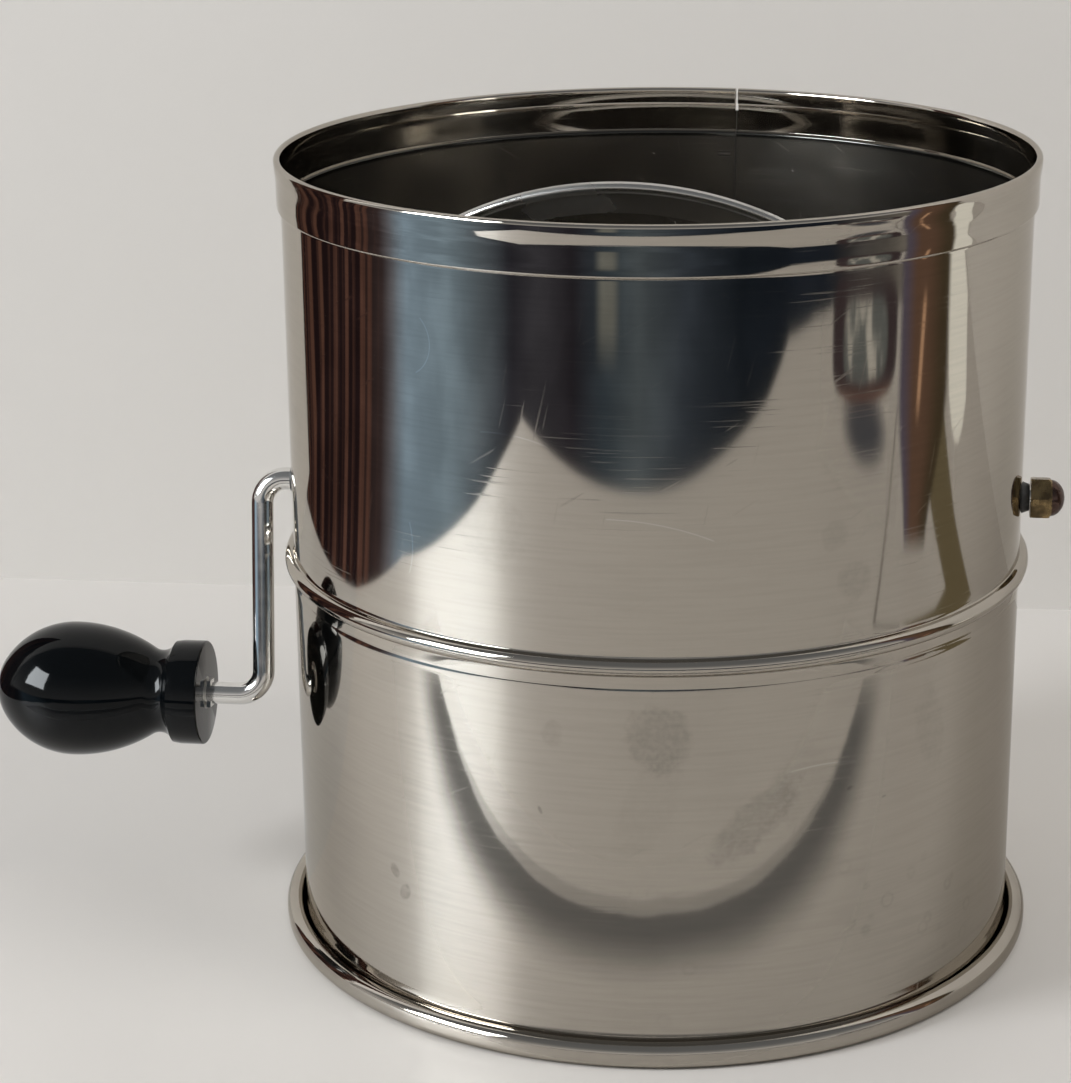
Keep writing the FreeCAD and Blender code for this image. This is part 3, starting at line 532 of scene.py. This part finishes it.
def polished_steel():
    """Mirror-polished sheet: hairlines, finger marks, scores and dried water spots, with
    painted shade inside the body and along the seam, and painted highlights on the clinch ribs
    and scores.
    """
    finish = Finish("polished_sheet", STEEL, 1.0, 0.05)
    x, y, z = finish.axes()
    bearing = y.maths("ARCTAN2", x)
    around = bearing * WALL_RADIUS
    inside = (x * x + y * y).maths("SQRT").below(WALL_RADIUS - GAUGE / 2)
    outside = 1 - inside
    sheared_and_shaded = ((bearing - SEAM_ANGLE).maths("ABSOLUTE") * WALL_RADIUS).below(SHEARED_AND_SHADED_HALF)

    smudge = finish.patches(scale=22.0, detail=3.0, low=0.55, high=0.78)
    film = finish.patches(scale=7.0, detail=2.0, low=0.35, high=0.8, stretch=(1.0, 1.0, 0.5))
    spots = water_spots(finish)
    hairs = wear = 0.0
    for *run, roughens in HAIRLINES:
        lines = hairlines(finish, *run)
        hairs = hairs + lines
        wear = wear + lines * roughens
    dull = inside * (ROUGHENS["inside"] + z.ramp(0.156, 0.160) * ROUGHENS["band"])
    finish.set("Roughness", ROUGHENS["polish"] + film * ROUGHENS["film"]
               + smudge * ROUGHENS["smudge"] + wear + spots * ROUGHENS["spots"]
               + dull + sheared_and_shaded * ROUGHENS["sheared_and_shaded"])

    marks = (smudge * DARKENS_BY_MARK_AND_SHADE["smudge"] + spots * DARKENS_BY_MARK_AND_SHADE["spots"]
             + finger_marks(finish, around, z) * outside
             + rolled_grain(finish, around, z) * DARKENS_BY_MARK_AND_SHADE["grain"])
    steel = finish.blend(marks.maths("MINIMUM", 1.0), STEEL, tuple(c * 0.70 for c in STEEL))
    # Painted shade: the inside of the body is darkened, more in the rim band and most along the
    # joggle's inside corner
    corner = 1 - (z - JOGGLE_SHADE_HEIGHT).maths("ABSOLUTE").ramp(*JOGGLE_SHADE_FADE)
    shaded = inside * (DARKENS_BY_MARK_AND_SHADE["inside"] + z.ramp(0.157, 0.163) * DARKENS_BY_MARK_AND_SHADE["band"]
                       + corner * DARKENS_BY_MARK_AND_SHADE["corner"])
    steel = finish.blend(shaded.maths("MINIMUM", 1.0), steel, INSIDE_SHADE_STEEL)
    steel = clinched(finish, steel, inside, around, z)
    # The scores are real scratches, painted brighter as a glint of light along them
    scores = curved_scores(around, z) * outside * SCORE_GLINT
    steel = finish.blend(scores, steel, HIGHLIGHT_STEEL)
    # Painted shade: the strip at the seam, over the lap's edge and the slit's floor, is drawn
    # near-black
    finish.set("Base Color", finish.blend(sheared_and_shaded, steel, SEAM_SHADE_STEEL))
    finish.set("Specular Tint", (0.78, 0.76, 0.73, 1.0))

    waves = finish.noise(24.0, 1.0) + inside * finish.noise(55.0, 2.0) * 5.0
    fine = finish.bump(hairs, 0.05, 0.01 * MM)
    finish.set("Normal", finish.bump(waves, 0.12, 0.6 * MM, fine))
    return finish.material


def bright_steel(name, colour, roughness, grain):
    """Drawn or rolled bright steel, with a fine grain and darker handling marks."""
    finish = Finish(name, colour, 1.0, roughness)
    rub = finish.noise(grain, 3.0, (0.08, 1.0, 1.0))
    dirt = finish.patches(scale=60.0, detail=3.0, low=0.5, high=0.75)
    finish.set("Roughness", roughness + rub * 0.10 + dirt * 0.12)
    darker = tuple(channel * 0.75 for channel in colour)
    finish.set("Base Color", finish.blend(dirt, colour, darker))
    finish.set("Normal", finish.bump(rub, 0.15, 0.02 * MM))
    return finish.material


def aged_brass():
    """Brass that has gone brown, with brighter metal on the rubbed edges."""
    finish = Finish("aged_brass", (0.34, 0.26, 0.14), 1.0, 0.38)
    patina = finish.patches(scale=420.0, detail=4.0, low=0.35, high=0.70)
    x, _, _ = finish.axes()
    cap = x.ramp(NUT_LOW.x + 0.60 * NUT_LENGTH, NUT_LOW.x + 0.63 * NUT_LENGTH)
    rubbed = finish.blend(patina, (0.36, 0.26, 0.13), (0.13, 0.095, 0.055))
    finish.set("Base Color", finish.blend(cap, rubbed, (0.10, 0.065, 0.055)))
    finish.set("Roughness", 0.20 + patina * 0.2)
    finish.set("Normal", finish.bump(finish.noise(900.0, 3.0), 0.2, 0.04 * MM))
    return finish.material


def gloss_plastic():
    """Glossy black phenolic, with fine handling scratches and a little dust."""
    finish = Finish("knob_plastic", (0.004, 0.005, 0.006), 0.0, 0.12)
    wear = finish.patches(scale=300.0, detail=4.0, low=0.55, high=0.8, stretch=(0.15, 1.0, 1.0))
    haze = finish.patches(scale=45.0, detail=3.0, low=0.5, high=0.8)
    finish.set("Roughness", 0.06 + wear * 0.10 + haze * 0.08)
    finish.set("Base Color", finish.blend(haze * 0.5, (0.001, 0.0018, 0.0025),
                                          (0.008, 0.009, 0.010)))
    finish.set("Specular IOR Level", 0.22)
    finish.set("Normal", finish.bump(finish.noise(55.0, 1.0), 0.05, 0.2 * MM))
    return finish.material


def matte_plastic():
    """Dull black moulded plastic of the bushings and spacers."""
    finish = Finish("bushing_plastic", (0.025, 0.025, 0.026), 0.0, 0.45)
    grain = finish.noise(1800.0, 3.0)
    finish.set("Base Color", finish.blend(grain, (0.018, 0.018, 0.019), (0.05, 0.05, 0.048)))
    finish.set("Roughness", 0.38 + grain * 0.2)
    finish.set("Normal", finish.bump(grain, 0.3, 0.03 * MM))
    return finish.material


# ---------------------------------------------------------------- the sheet body

def foot_points(wall):
    """The foot curl from its lip inside, and the flare over it."""
    half = GAUGE / 2
    outer = FOOT_RADIUS - half
    top = FOOT_TOP - half
    low = half + FOOT_BEND
    points = arc((outer - FOOT_BEND, top - FOOT_LIP), FOOT_LIP, 180, 90, FOOT_STEPS)
    points += arc((outer - FOOT_BEND, top - FOOT_BEND), FOOT_BEND, 90, 0, FOOT_STEPS)
    points += arc((outer - FOOT_BEND, low), FOOT_BEND, 0, -90, FOOT_STEPS)
    toe = wall + FOOT_FLARE[0][1]
    points += arc((toe + FOOT_BEND, low), FOOT_BEND, -90, -180, FOOT_STEPS)
    return points + [(wall + spread, height) for height, spread in FOOT_FLARE]


def rim_points(wall):
    """The joggle out to the rim band, the band's flare and the hem turned in over it."""
    angle = math.radians(JOGGLE_TURN)
    slope = BAND_STEP - 2 * JOGGLE_BEND * (1 - math.cos(angle))
    rise = 2 * JOGGLE_BEND * math.sin(angle) + slope * math.cos(angle) / math.sin(angle)
    band = wall + BAND_STEP
    foot = JOGGLE_START + rise
    points = arc((wall + JOGGLE_BEND, JOGGLE_START), JOGGLE_BEND, 180, 180 - JOGGLE_TURN,
                 JOGGLE_STEPS)
    points += arc((band - JOGGLE_BEND, foot), JOGGLE_BEND, -JOGGLE_TURN, 0, JOGGLE_STEPS)

    hem = (band + BAND_FLARE - HEM_BEND, BODY_HEIGHT - GAUGE / 2 - HEM_BEND)
    tall = hem[1] - foot
    flared = [(foot + tall * up, band + BAND_FLARE * share) for up, share in FLARE_SHARES]
    for low, high in list(zip(flared, flared[1:])):
        if low[0] < SLIT_FOOT < high[0]:
            part = (SLIT_FOOT - low[0]) / (high[0] - low[0])
            flared.append((SLIT_FOOT, low[1] + (high[1] - low[1]) * part))
    points += [(radius, height) for height, radius in sorted(flared)]
    points += arc(hem, HEM_BEND, 0, 180, HEM_STEPS)
    return points + [(hem[0] - HEM_BEND, hem[1] - HEM_TAIL)]


def sheet_line():
    """The sheet's middle line from the foot curl's lip to the end of the hem."""
    wall = WALL_RADIUS - GAUGE / 2
    crest_place = wall + BEAD_PROUD - BEAD_CREST
    out = wall + BEAD_FILLET - crest_place
    up = math.sqrt((BEAD_CREST + BEAD_FILLET) ** 2 - out ** 2)
    tilt = math.degrees(math.atan2(up, out))
    under, over = BEAD_HEIGHT - up, BEAD_HEIGHT + up
    fillet = wall + BEAD_FILLET

    points = foot_points(wall)
    points += upright(wall, [FOOT_FLARE[-1][0], *LAP_ENDS[:2], under - GROOVE[0][0]])
    points += [(wall - depth, under - drop) for drop, depth in GROOVE]
    points += arc((fillet, under), BEAD_FILLET, 180, 180 - tilt, FILLET_STEPS)
    points += arc((crest_place, BEAD_HEIGHT), BEAD_CREST, -tilt, tilt, CREST_STEPS)[1:-1]
    points += arc((fillet, over), BEAD_FILLET, tilt - 180, -180, FILLET_STEPS)
    points += upright(wall, [over, LAP_ENDS[2], CRANK_HEIGHT - HOLE_ROOM,
                             CRANK_HEIGHT + HOLE_ROOM, LAP_ENDS[3], JOGGLE_START])
    points += rim_points(wall)
    return [point for index, point in enumerate(points)
            if index == 0 or math.dist(point, points[index - 1]) > MERGED]


def both_skins(line, gauge):
    """A closed outline, half a gauge to each side of a line."""
    left, right = [], []
    for index, point in enumerate(line):
        before = Vector(line[max(index - 1, 0)])
        after = Vector(line[min(index + 1, len(line) - 1)])
        first = Vector(point) - before
        second = after - Vector(point)
        run = (first.normalized() + second.normalized()).normalized()
        side = Vector((-run.y, run.x)) * gauge / 2
        widen = 1.0
        if first.length > 0 and second.length > 0:
            widen = 1 / max(0.5, math.cos(first.angle(second) / 2))
        left.append(Vector(point) + side * widen)
        right.append(Vector(point) - side * widen)
    return left + right[::-1]


def lap_rise(turn, height):
    """How far each skin stands off at the lap: the inner one steps in, the outer one out."""
    low = LAP_ENDS[0] < height < LAP_ENDS[1]
    high = LAP_ENDS[2] < height < LAP_ENDS[3]
    share = turn * WALL_RADIUS / LAP_WIDTH
    if not (low or high) or not 0 < share < 1:
        return 0.0, 0.0
    return -LAP_TUCK * (1 - share), LAP_STEP * share


def sweep(edit, geometry, sectors):
    """Spins a section about Z through each sector in turn, and gives the last section."""
    for turn, steps in sectors:
        made = bmesh.ops.spin(edit, geom=geometry, cent=(0, 0, 0), axis=(0, 0, 1),
                              dvec=(0, 0, 0), angle=turn, steps=steps)
        geometry = made["geom_last"]
    return geometry


def make_body(material):
    """One sheet rolled until it laps itself at the back, with its rim slit at the seam."""
    edit = bmesh.new()
    outline = both_skins(sheet_line(), GAUGE)
    start = SEAM_ANGLE + SLIT_TURN / 2
    facing = Vector((math.cos(start), math.sin(start), 0))
    loop = [edit.verts.new(facing * point.x + Vector((0, 0, point.y))) for point in outline]
    section = loop + [edit.edges.new(pair) for pair in zip(loop, loop[1:] + loop[:1])]
    lap = LAP_WIDTH / WALL_RADIUS
    hair = LAP_CUT / WALL_RADIUS
    rest = math.tau - SLIT_TURN / 2 - lap - hair / 2
    half_slit = SLIT_TURN / 2 - hair / 2
    section = sweep(edit, section, ((lap - hair / 2 - SLIT_TURN / 2, LAP_STEPS), (hair, 1),
                                    (rest, WALL_STEPS)))
    rolled = set(edit.faces)
    sweep(edit, section, ((half_slit, 1), (hair, 1), (half_slit, 1)))
    cut = [face for face in edit.faces if face not in rolled
           and face.calc_center_median().z > SLIT_FOOT]
    bmesh.ops.delete(edit, geom=cut, context="FACES")
    bmesh.ops.remove_doubles(edit, verts=edit.verts, dist=MERGED)
    close_slit(edit)
    for vert in edit.verts:
        turn = (math.atan2(vert.co.y, vert.co.x) - SEAM_ANGLE) % math.tau
        radius = math.hypot(vert.co.x, vert.co.y)
        inner, outer = lap_rise(turn, vert.co.z)
        move = inner if radius < WALL_RADIUS - GAUGE / 2 else outer
        if abs(radius - WALL_RADIUS + GAUGE / 2) < GAUGE:
            vert.co.xy *= (radius + move) / radius
    bmesh.ops.recalc_face_normals(edit, faces=edit.faces)
    piece = new_piece("sifter_body", edit, "root", material)
    smooth(piece.data)
    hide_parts("body_shell")


def bearing_of(vert):
    """A vertex's bearing about the body's axis."""
    return math.atan2(vert.co.y, vert.co.x)


def close_slit(edit):
    """Closes the two cut ends of the rim and the floor of the slit between them."""
    rim = [edge for edge in edit.edges if edge.is_boundary]
    floor = [edge for edge in rim
             if all(abs(vert.co.z - SLIT_FOOT) < LAP_CUT for vert in edge.verts)]
    corners = {vert for edge in floor for vert in edge.verts}
    sides = [edge for edge in rim if edge not in floor]
    ends = [vert for vert in corners if any(edge in sides for edge in vert.link_edges)]
    ends.sort(key=bearing_of)
    for pair in (ends[:2], ends[2:]):
        across = edit.edges.new(pair)
        middle = bearing_of(pair[0])
        side = [edge for edge in sides
                if abs(bearing_of(edge.verts[0]) - middle) < SLIT_TURN / 3]
        bmesh.ops.contextual_create(edit, geom=side + [across])
    bmesh.ops.holes_fill(edit, edges=[edge for edge in edit.edges if edge.is_boundary], sides=0)


# ---------------------------------------------------------------- the sieve

def make_sieve(material):
    """A cup of woven wire cloth: two families of wires, each over one and under the next."""
    depth = CRANK_HEIGHT - SIEVE_LOW.z
    radius = depth - WIRE_INSET
    edge = SIEVE_HIGH.z - CRANK_HEIGHT
    curve = bpy.data.curves.new("sieve_wires", "CURVE")
    curve.dimensions = "3D"
    curve.bevel_depth = WIRE_RADIUS
    curve.bevel_resolution = 0
    count = int(radius / WIRE_PITCH)
    for family in (0, 1):
        for number in range(-count, count + 1):
            offset = number * WIRE_PITCH
            places = []
            for crossing in range(-count, count + 1):
                other = crossing * WIRE_PITCH
                flat = offset ** 2 + other ** 2
                if flat >= radius ** 2 - edge ** 2:
                    continue
                over = 1 if (number + crossing + family) % 2 else -1
                reach = radius + over * WIRE_RADIUS * WEAVE_SHARE
                spot = Vector((offset, other, -math.sqrt(radius ** 2 - flat)))
                if family:
                    spot.xy = spot.yx
                places.append(spot.normalized() * reach)
            if len(places) < 2:
                continue
            wire = curve.splines.new("POLY")
            wire.points.add(len(places) - 1)
            for point, place in zip(wire.points, places):
                point.co = (place.x, place.y, place.z + CRANK_HEIGHT, 1.0)
    drawn = bpy.data.objects.new("sieve_wires", curve)
    bpy.context.scene.collection.objects.link(drawn)
    bpy.context.view_layer.update()
    seen = drawn.evaluated_get(bpy.context.evaluated_depsgraph_get())
    mesh = bpy.data.meshes.new_from_object(seen)
    bpy.data.objects.remove(drawn)
    piece = new_piece("sieve_cloth", mesh, "root", material)
    smooth(piece.data, crease=80)
    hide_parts("sieve_bowl")


# ---------------------------------------------------------------- the turned and bent pieces

def refine(node, material, crease=32.0):
    """The node's own shape as one joined, smooth-shaded mesh."""
    source = frame["nodes"][node]
    edit = bmesh.new()
    edit.from_mesh(source.data)
    bmesh.ops.remove_doubles(edit, verts=edit.verts, dist=WELDED)
    piece = new_piece(f"{node}_finished", edit, source["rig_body"], material)
    smooth(piece.data, crease)
    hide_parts(node)


# ---------------------------------------------------------------- the table and the room

class Glow(Finish):
    """A stage finish that gives off light, for a material or for the world."""

    def __init__(self, owner, place="Object"):
        owner.use_nodes = True
        self.material = owner
        self.tree = owner.node_tree
        self.tree.nodes.clear()
        self.place = self.node("TexCoord", {}, {}, place)

    def shine(self, colour, strength=1.0, mask=1.0):
        """Gives off this colour, and is clear where the mask is 0."""
        lamp = self.node("Emission", {}, {"Color": self.colour(colour), "Strength": strength})
        clear = self.node("BsdfTransparent", {}, {})
        self.node_out(self.node("MixShader", {}, {0: mask, 1: clear, 2: lamp}))
        return self.material

    def shade(self, colour):
        """Darkens what is seen through it."""
        self.node_out(self.node("BsdfTransparent", {}, {"Color": self.colour(colour)}))
        return self.material

    def node_out(self, surface, kind="ShaderNodeOutputMaterial"):
        """Joins the surface to the tree's output."""
        out = self.tree.nodes.new(kind)
        self.join(out.inputs["Surface"], surface)

    def share_of_turn(self):
        """Each point's bearing as a share of a turn from -X, through -Y and +X."""
        x, y, _ = self.axes()
        return y.maths("ARCTAN2", x) / math.tau + 0.5


def glow(name):
    """A new stage material that gives off light."""
    return Glow(bpy.data.materials.new(name))


def stage_piece(name, edit, material):
    """Makes a stage piece of a finished mesh edit."""
    mesh = bpy.data.meshes.new(name)
    edit.to_mesh(mesh)
    edit.free()
    mesh.materials.append(material)
    sheet = bpy.data.objects.new(name, mesh)
    bpy.context.scene.collection.objects.link(sheet)
    return sheet


def sheet_of(name, corners, material):
    """A stage piece with one face."""
    edit = bmesh.new()
    edit.faces.new([edit.verts.new(corner) for corner in corners])
    return stage_piece(name, edit, material)


def reflected(sheet):
    """Leaves a stage piece to show only as a reflection."""
    sheet.visible_camera = False
    sheet.visible_diffuse = False
    sheet.visible_shadow = False


def card(name, corners, material):
    """A stage piece with one face, which shows only as a reflection."""
    reflected(sheet_of(name, corners, material))


def level(left, right, near, far, lift):
    """The corners of a level oblong at this height."""
    return ((left, near, lift), (right, near, lift), (right, far, lift), (left, far, lift))


def lifted(corners, lift):
    """Flat corners at this height."""
    return [(x, y, lift) for x, y in corners]


def standing(first, last, low, high):
    """The corners of an upright oblong over the line between two places."""
    return ((*first, low), (*last, low), (*last, high), (*first, high))


def slats(finish, turn):
    """A mask of uneven upright slats, by their bearing."""
    bands = finish.node("TexNoise", {"noise_dimensions": "1D"}, {
        "W": turn * SLATS_ROUND, "Scale": 1.0, "Detail": 2.0})
    return bands.ramp(0.46, 0.62)


def make_room():
    """What stands beyond the table's edge, told apart by its bearing from the sifter."""
    finish = glow("room")
    turn = finish.share_of_turn()
    colours = finish.node("ValToRGB", {"stops": ROOM_BEARINGS}, {"Fac": turn})
    stripes = slats(finish, turn) * (turn.above(SLATS_FROM) + turn.below(SLATS_TO))
    seen = finish.blend(stripes, colours, (0.11, 0.055, 0.042))
    x, y, _ = finish.axes()
    away = (x * x + y * y).maths("SQRT")
    off = (turn - STREAK_TURN).maths("ABSOLUTE")
    streak = (1 - off.ramp(*STREAK_FADE)) * away.ramp(*STREAK_START)
    seen = finish.blend(streak, seen, (0.17, 0.175, 0.16))
    cloudy = finish.patches(scale=7.0, detail=3.0, low=0.38, high=0.72) * 0.5
    brighter = finish.node("HueSaturation", {}, {"Color": seen, "Value": 1.9})
    seen = finish.blend(cloudy, seen, brighter)

    edit = bmesh.new()
    inner = [edit.verts.new((x, y, ROOM_LIFT)) for x, y in TABLE_CORNERS]
    outer = [edit.verts.new((x * ROOM_REACH, y * ROOM_REACH, ROOM_LIFT))
             for x, y in TABLE_CORNERS]
    for index in range(len(inner) - 1):
        edit.faces.new((inner[index], outer[index], outer[index + 1], inner[index + 1]))
    reflected(stage_piece("room", edit, finish.shine(seen)))


def make_table_and_wall():
    """The table top, and the wall behind it, which is clear when seen from behind."""
    pale = Finish("table_top", (0.70, 0.68, 0.655), 0.0, 0.5)
    pale.set("Coat Weight", 0.35)
    pale.set("Coat Roughness", 0.32)
    mottle = pale.noise(3.0, 3.0)
    pale.set("Base Color", pale.blend(mottle, (0.71, 0.69, 0.665), (0.67, 0.65, 0.625)))
    sheet_of("table", level(-6, 6, -6, 6, 0), pale.material)

    wall = Finish("back_wall", (0.68, 0.66, 0.63), 0.0, 0.7)
    behind = wall.node("NewGeometry", {}, {}, "Backfacing")
    clear = wall.node("BsdfTransparent", {}, {})
    painted = Value(wall, wall.shader.outputs[0])
    surface = wall.node("MixShader", {}, {0: behind, 1: painted, 2: clear})
    wall.join(wall.tree.nodes["Material Output"].inputs["Surface"], surface)
    sheet_of("back_wall", standing((-6, WALL_PLACE), (6, WALL_PLACE), 0, 4), wall.material)


def make_table_shade():
    """A card that tints what the table gives back, by its bearing."""
    finish = glow("table_shade")
    tints = finish.node("ValToRGB", {"stops": TABLE_BEARINGS}, {"Fac": finish.share_of_turn()})
    card("table_shade", level(-0.6, 1.5, -0.6, REAR_PLACE, SHADE_LIFT), finish.shade(tints))


def make_board_edge():
    """The painted shade on the edge of a board in front of the sifter, and the painted bowed
    shadow beyond it.
    """
    finish = glow("board_edge_shade")
    x, y, _ = finish.axes()
    near_edge = (x - BOARD_KNEE).maths("MAXIMUM", 0.0) * BOARD_SLANT + BOARD_PLACE
    bow = (1 - (x / BOW_HALF) ** 2).maths("MAXIMUM", 0.0) * BOW_DEPTH
    step = y - near_edge + (finish.noise(40.0, 3.0) - 0.5) * 0.004
    past = step - bow
    fade = 1 - x.maths("ABSOLUTE").ramp(*BOW_ENDS)
    # Painted shade: the board's upright edge face is a darker strip, and the shadow beyond it a
    # dark band, both on one dark card
    edge = step.above(0.0) * past.below(0.0) * 0.30
    shadow = past.above(0.0) * (1 - past.ramp(*BOW_SHADE)) * fade * 0.8
    card("board_edge_shade", level(-0.27, 0.27, -0.17, -0.08, EDGE_LIFT),
         finish.shine((0.075, 0.078, 0.08), 1.0, edge + shadow))


def make_window_and_panel():
    """The bright window on the left and the slatted wood panel beside the wall."""
    window = glow("window").shine((0.92, 0.97, 1.0), 18.0)
    card("window", standing((-1.18, -0.40), (-0.84, -0.93), 0.30, 0.92), window)
    finish = glow("panel")
    wood = finish.blend(slats(finish, finish.share_of_turn()), WOOD_DARK, WOOD_PALE)
    card("panel", standing((-0.335, PANEL_PLACE), (-2.0, PANEL_PLACE), 0, 0.6),
         finish.shine(wood))


def make_jar():
    """A dark glass jar with a pale heart on the right, and the shadow round its foot."""
    finish = glow("jar")
    _, y, z = finish.axes()
    across = (y - JAR_MIDDLE[0]) / JAR_HALF[0]
    up = (z - JAR_MIDDLE[1]) / JAR_HALF[1]
    out = across ** 4 + up ** 4
    form = 1 - out.ramp(0.85, 1.15)
    wisps = finish.noise(30.0, 3.0)
    heart = 1 - (out + (wisps - 0.5) * 0.4).ramp(0.10, 0.26)
    cloud = finish.blend(wisps.ramp(0.45, 0.58), (0.14, 0.15, 0.145), (0.52, 0.50, 0.45))
    ring = finish.blend(1 - z.ramp(0.007, 0.013), (0.055, 0.040, 0.043), (0.15, 0.08, 0.06))
    card("jar", standing((0.43, -0.345), (0.53, -0.10), 0.001, 0.06),
         finish.shine(finish.blend(heart, ring, cloud), 1.0, form))

    pool = glow("jar_shadow")
    x, y, _ = pool.axes()
    across = (x - POOL_MIDDLE[0]) / POOL_HALF[0]
    along = (y - POOL_MIDDLE[1]) / POOL_HALF[1]
    away = across ** 2 + along ** 2
    card("jar_shadow", level(0.38, 0.54, -0.32, -0.10, CARD_LIFT),
         pool.shine((0.04, 0.045, 0.06), 1.0, (1 - away.ramp(0.1, 1.0)) * 0.9))


def make_post():
    """A brown post that widens upward on the right, with a warm gleam across it."""
    finish = glow("post")
    _, y, z = finish.axes()
    grown = z.ramp(0.0, POST_GROWN)
    half = grown * POST_WIDENS + POST_HALF
    middle = grown * POST_SHIFTS + POST_MIDDLE
    share = (y - middle) / half
    form = (1 - share.maths("ABSOLUTE").ramp(0.86, 1.08)) * z.ramp(-0.002, 0.008)
    cold = finish.blend(share.ramp(-0.9, -0.35), (0.11, 0.095, 0.13), (0.14, 0.082, 0.055))
    brown = finish.blend(share.ramp(-0.1, 0.8), cold, (0.07, 0.052, 0.03))
    slant = (y + 0.047 - (z - 0.06) * 0.3).maths("ABSOLUTE").ramp(0.0015, 0.006)
    gleam = (1 - slant) * z.ramp(0.038, 0.05) * (1 - z.ramp(0.074, 0.082))
    card("post", standing((0.36, -0.12), (0.36, 0.05), 0, 0.4),
         finish.shine(finish.blend(gleam, brown, (0.60, 0.36, 0.22)), 1.0, form))


def make_strips():
    """The flat strips on the table to the right: a strap, a lit strip and a board's edges."""
    strap = glow("strap").shine((0.16, 0.13, 0.075))
    card("strap", lifted(STRAP_CORNERS, CARD_LIFT), strap)
    lit = glow("lit_strip").shine((0.95, 0.94, 0.86))
    card("lit_strip", lifted(LIT_CORNERS, CARD_LIFT), lit)
    dim = glow("board_side").shine((0.17, 0.155, 0.14))
    card("board_side", lifted(SIDE_CORNERS, CARD_LIFT), dim)
    card("board_end", lifted(END_CORNERS, CARD_LIFT), dim)


def add_lamp(name, place, size, energy, colour):
    """A round lamp that points at the sifter's lower half and is not mirrored in it."""
    lamp = bpy.data.lights.new(name, "AREA")
    lamp.shape = "DISK"
    lamp.size = size
    lamp.energy = energy
    lamp.color = colour
    held = bpy.data.objects.new(name, lamp)
    held.location = place
    held.rotation_euler = (LAMP_AIM - held.location).to_track_quat("-Z", "Y").to_euler()
    held.visible_glossy = False
    bpy.context.scene.collection.objects.link(held)


def make_light():
    """A soft window light from the left, a softer one from the right and a room that fills."""
    add_lamp("window_light", (-2.1, -1.2, 1.5), 0.9, 44.0, (0.97, 0.98, 1.0))
    add_lamp("right_light", (0.95, -0.45, 1.35), 0.7, 8.0, (1.0, 0.965, 0.92))

    world = bpy.data.worlds.new("room_light")
    bpy.context.scene.world = world
    finish = Glow(world, "Generated")
    _, _, z = finish.axes()
    mirrored = finish.node("LightPath", {}, {}, "Is Glossy Ray")
    seen = finish.node("ValToRGB", {"stops": ROOM_HEIGHTS}, {"Fac": z})
    sky = finish.blend(mirrored, FILL_COLOUR, seen)
    lit = finish.node("Background", {}, {"Color": sky, "Strength": 1.0})
    finish.node_out(lit, "ShaderNodeOutputWorld")


def make_camera():
    """The camera, in front of the sifter and a little above it."""
    lens = bpy.data.cameras.new("camera")
    lens.sensor_width = 36.0
    lens.lens = 98.32
    lens.shift_x = 0.004174
    lens.shift_y = 0.05275
    lens.clip_start = 0.02
    lens.clip_end = 30.0
    camera = bpy.data.objects.new("camera", lens)
    right = Vector((0.992250, 0.123813, -0.010525))
    up = Vector((-0.030113, 0.321769, 0.946339))
    back = right.cross(up).normalized()
    turn = Matrix((right, up, back)).transposed().to_4x4()
    place = Vector((0.049704, -0.593405, 0.273215))
    camera.matrix_world = Matrix.Translation(place) @ turn
    bpy.context.scene.collection.objects.link(camera)
    bpy.context.scene.camera = camera


# ---------------------------------------------------------------- the sifter

make_camera()
make_light()
make_table_and_wall()
make_room()
make_table_shade()
make_board_edge()
make_window_and_panel()
make_jar()
make_post()
make_strips()

sheet_finish = polished_steel()
wire_finish = bright_steel("sieve_wire", (0.42, 0.41, 0.40), 0.32, 900.0)
binding_finish = bright_steel("binding_steel", (0.55, 0.54, 0.52), 0.22, 300.0)
rod_finish = bright_steel("bright_rod", (0.80, 0.79, 0.77), 0.06, 350.0)
strip_finish = bright_steel("agitator_strip", (0.62, 0.61, 0.59), 0.16, 300.0)
hub_finish = bright_steel("hub_steel", (0.50, 0.49, 0.47), 0.30, 300.0)
pin_finish = bright_steel("pin_steel", (0.55, 0.54, 0.53), 0.20, 500.0)
bushing_finish = matte_plastic()
nut_finish = aged_brass()
knob_finish = gloss_plastic()

make_body(sheet_finish)
make_sieve(wire_finish)
refine("sieve_binding_ring", binding_finish)
refine("crank_rod", rod_finish)
for number in (1, 2, 3, 4):
    refine(f"agitator_blade_{number}", strip_finish)
for end in ("left", "right"):
    refine(f"hub_{end}", hub_finish)
    refine(f"drive_pin_{end}", pin_finish)
    refine(f"spacer_{end}", bushing_finish)
    refine(f"bushing_{end}", bushing_finish)
refine("acorn_nut", nut_finish, crease=25)
refine("knob", knob_finish)
refine("knob_liner", hub_finish)
refine("knob_push_nut", pin_finish)

bpy.context.scene.view_settings.view_transform = "Standard"
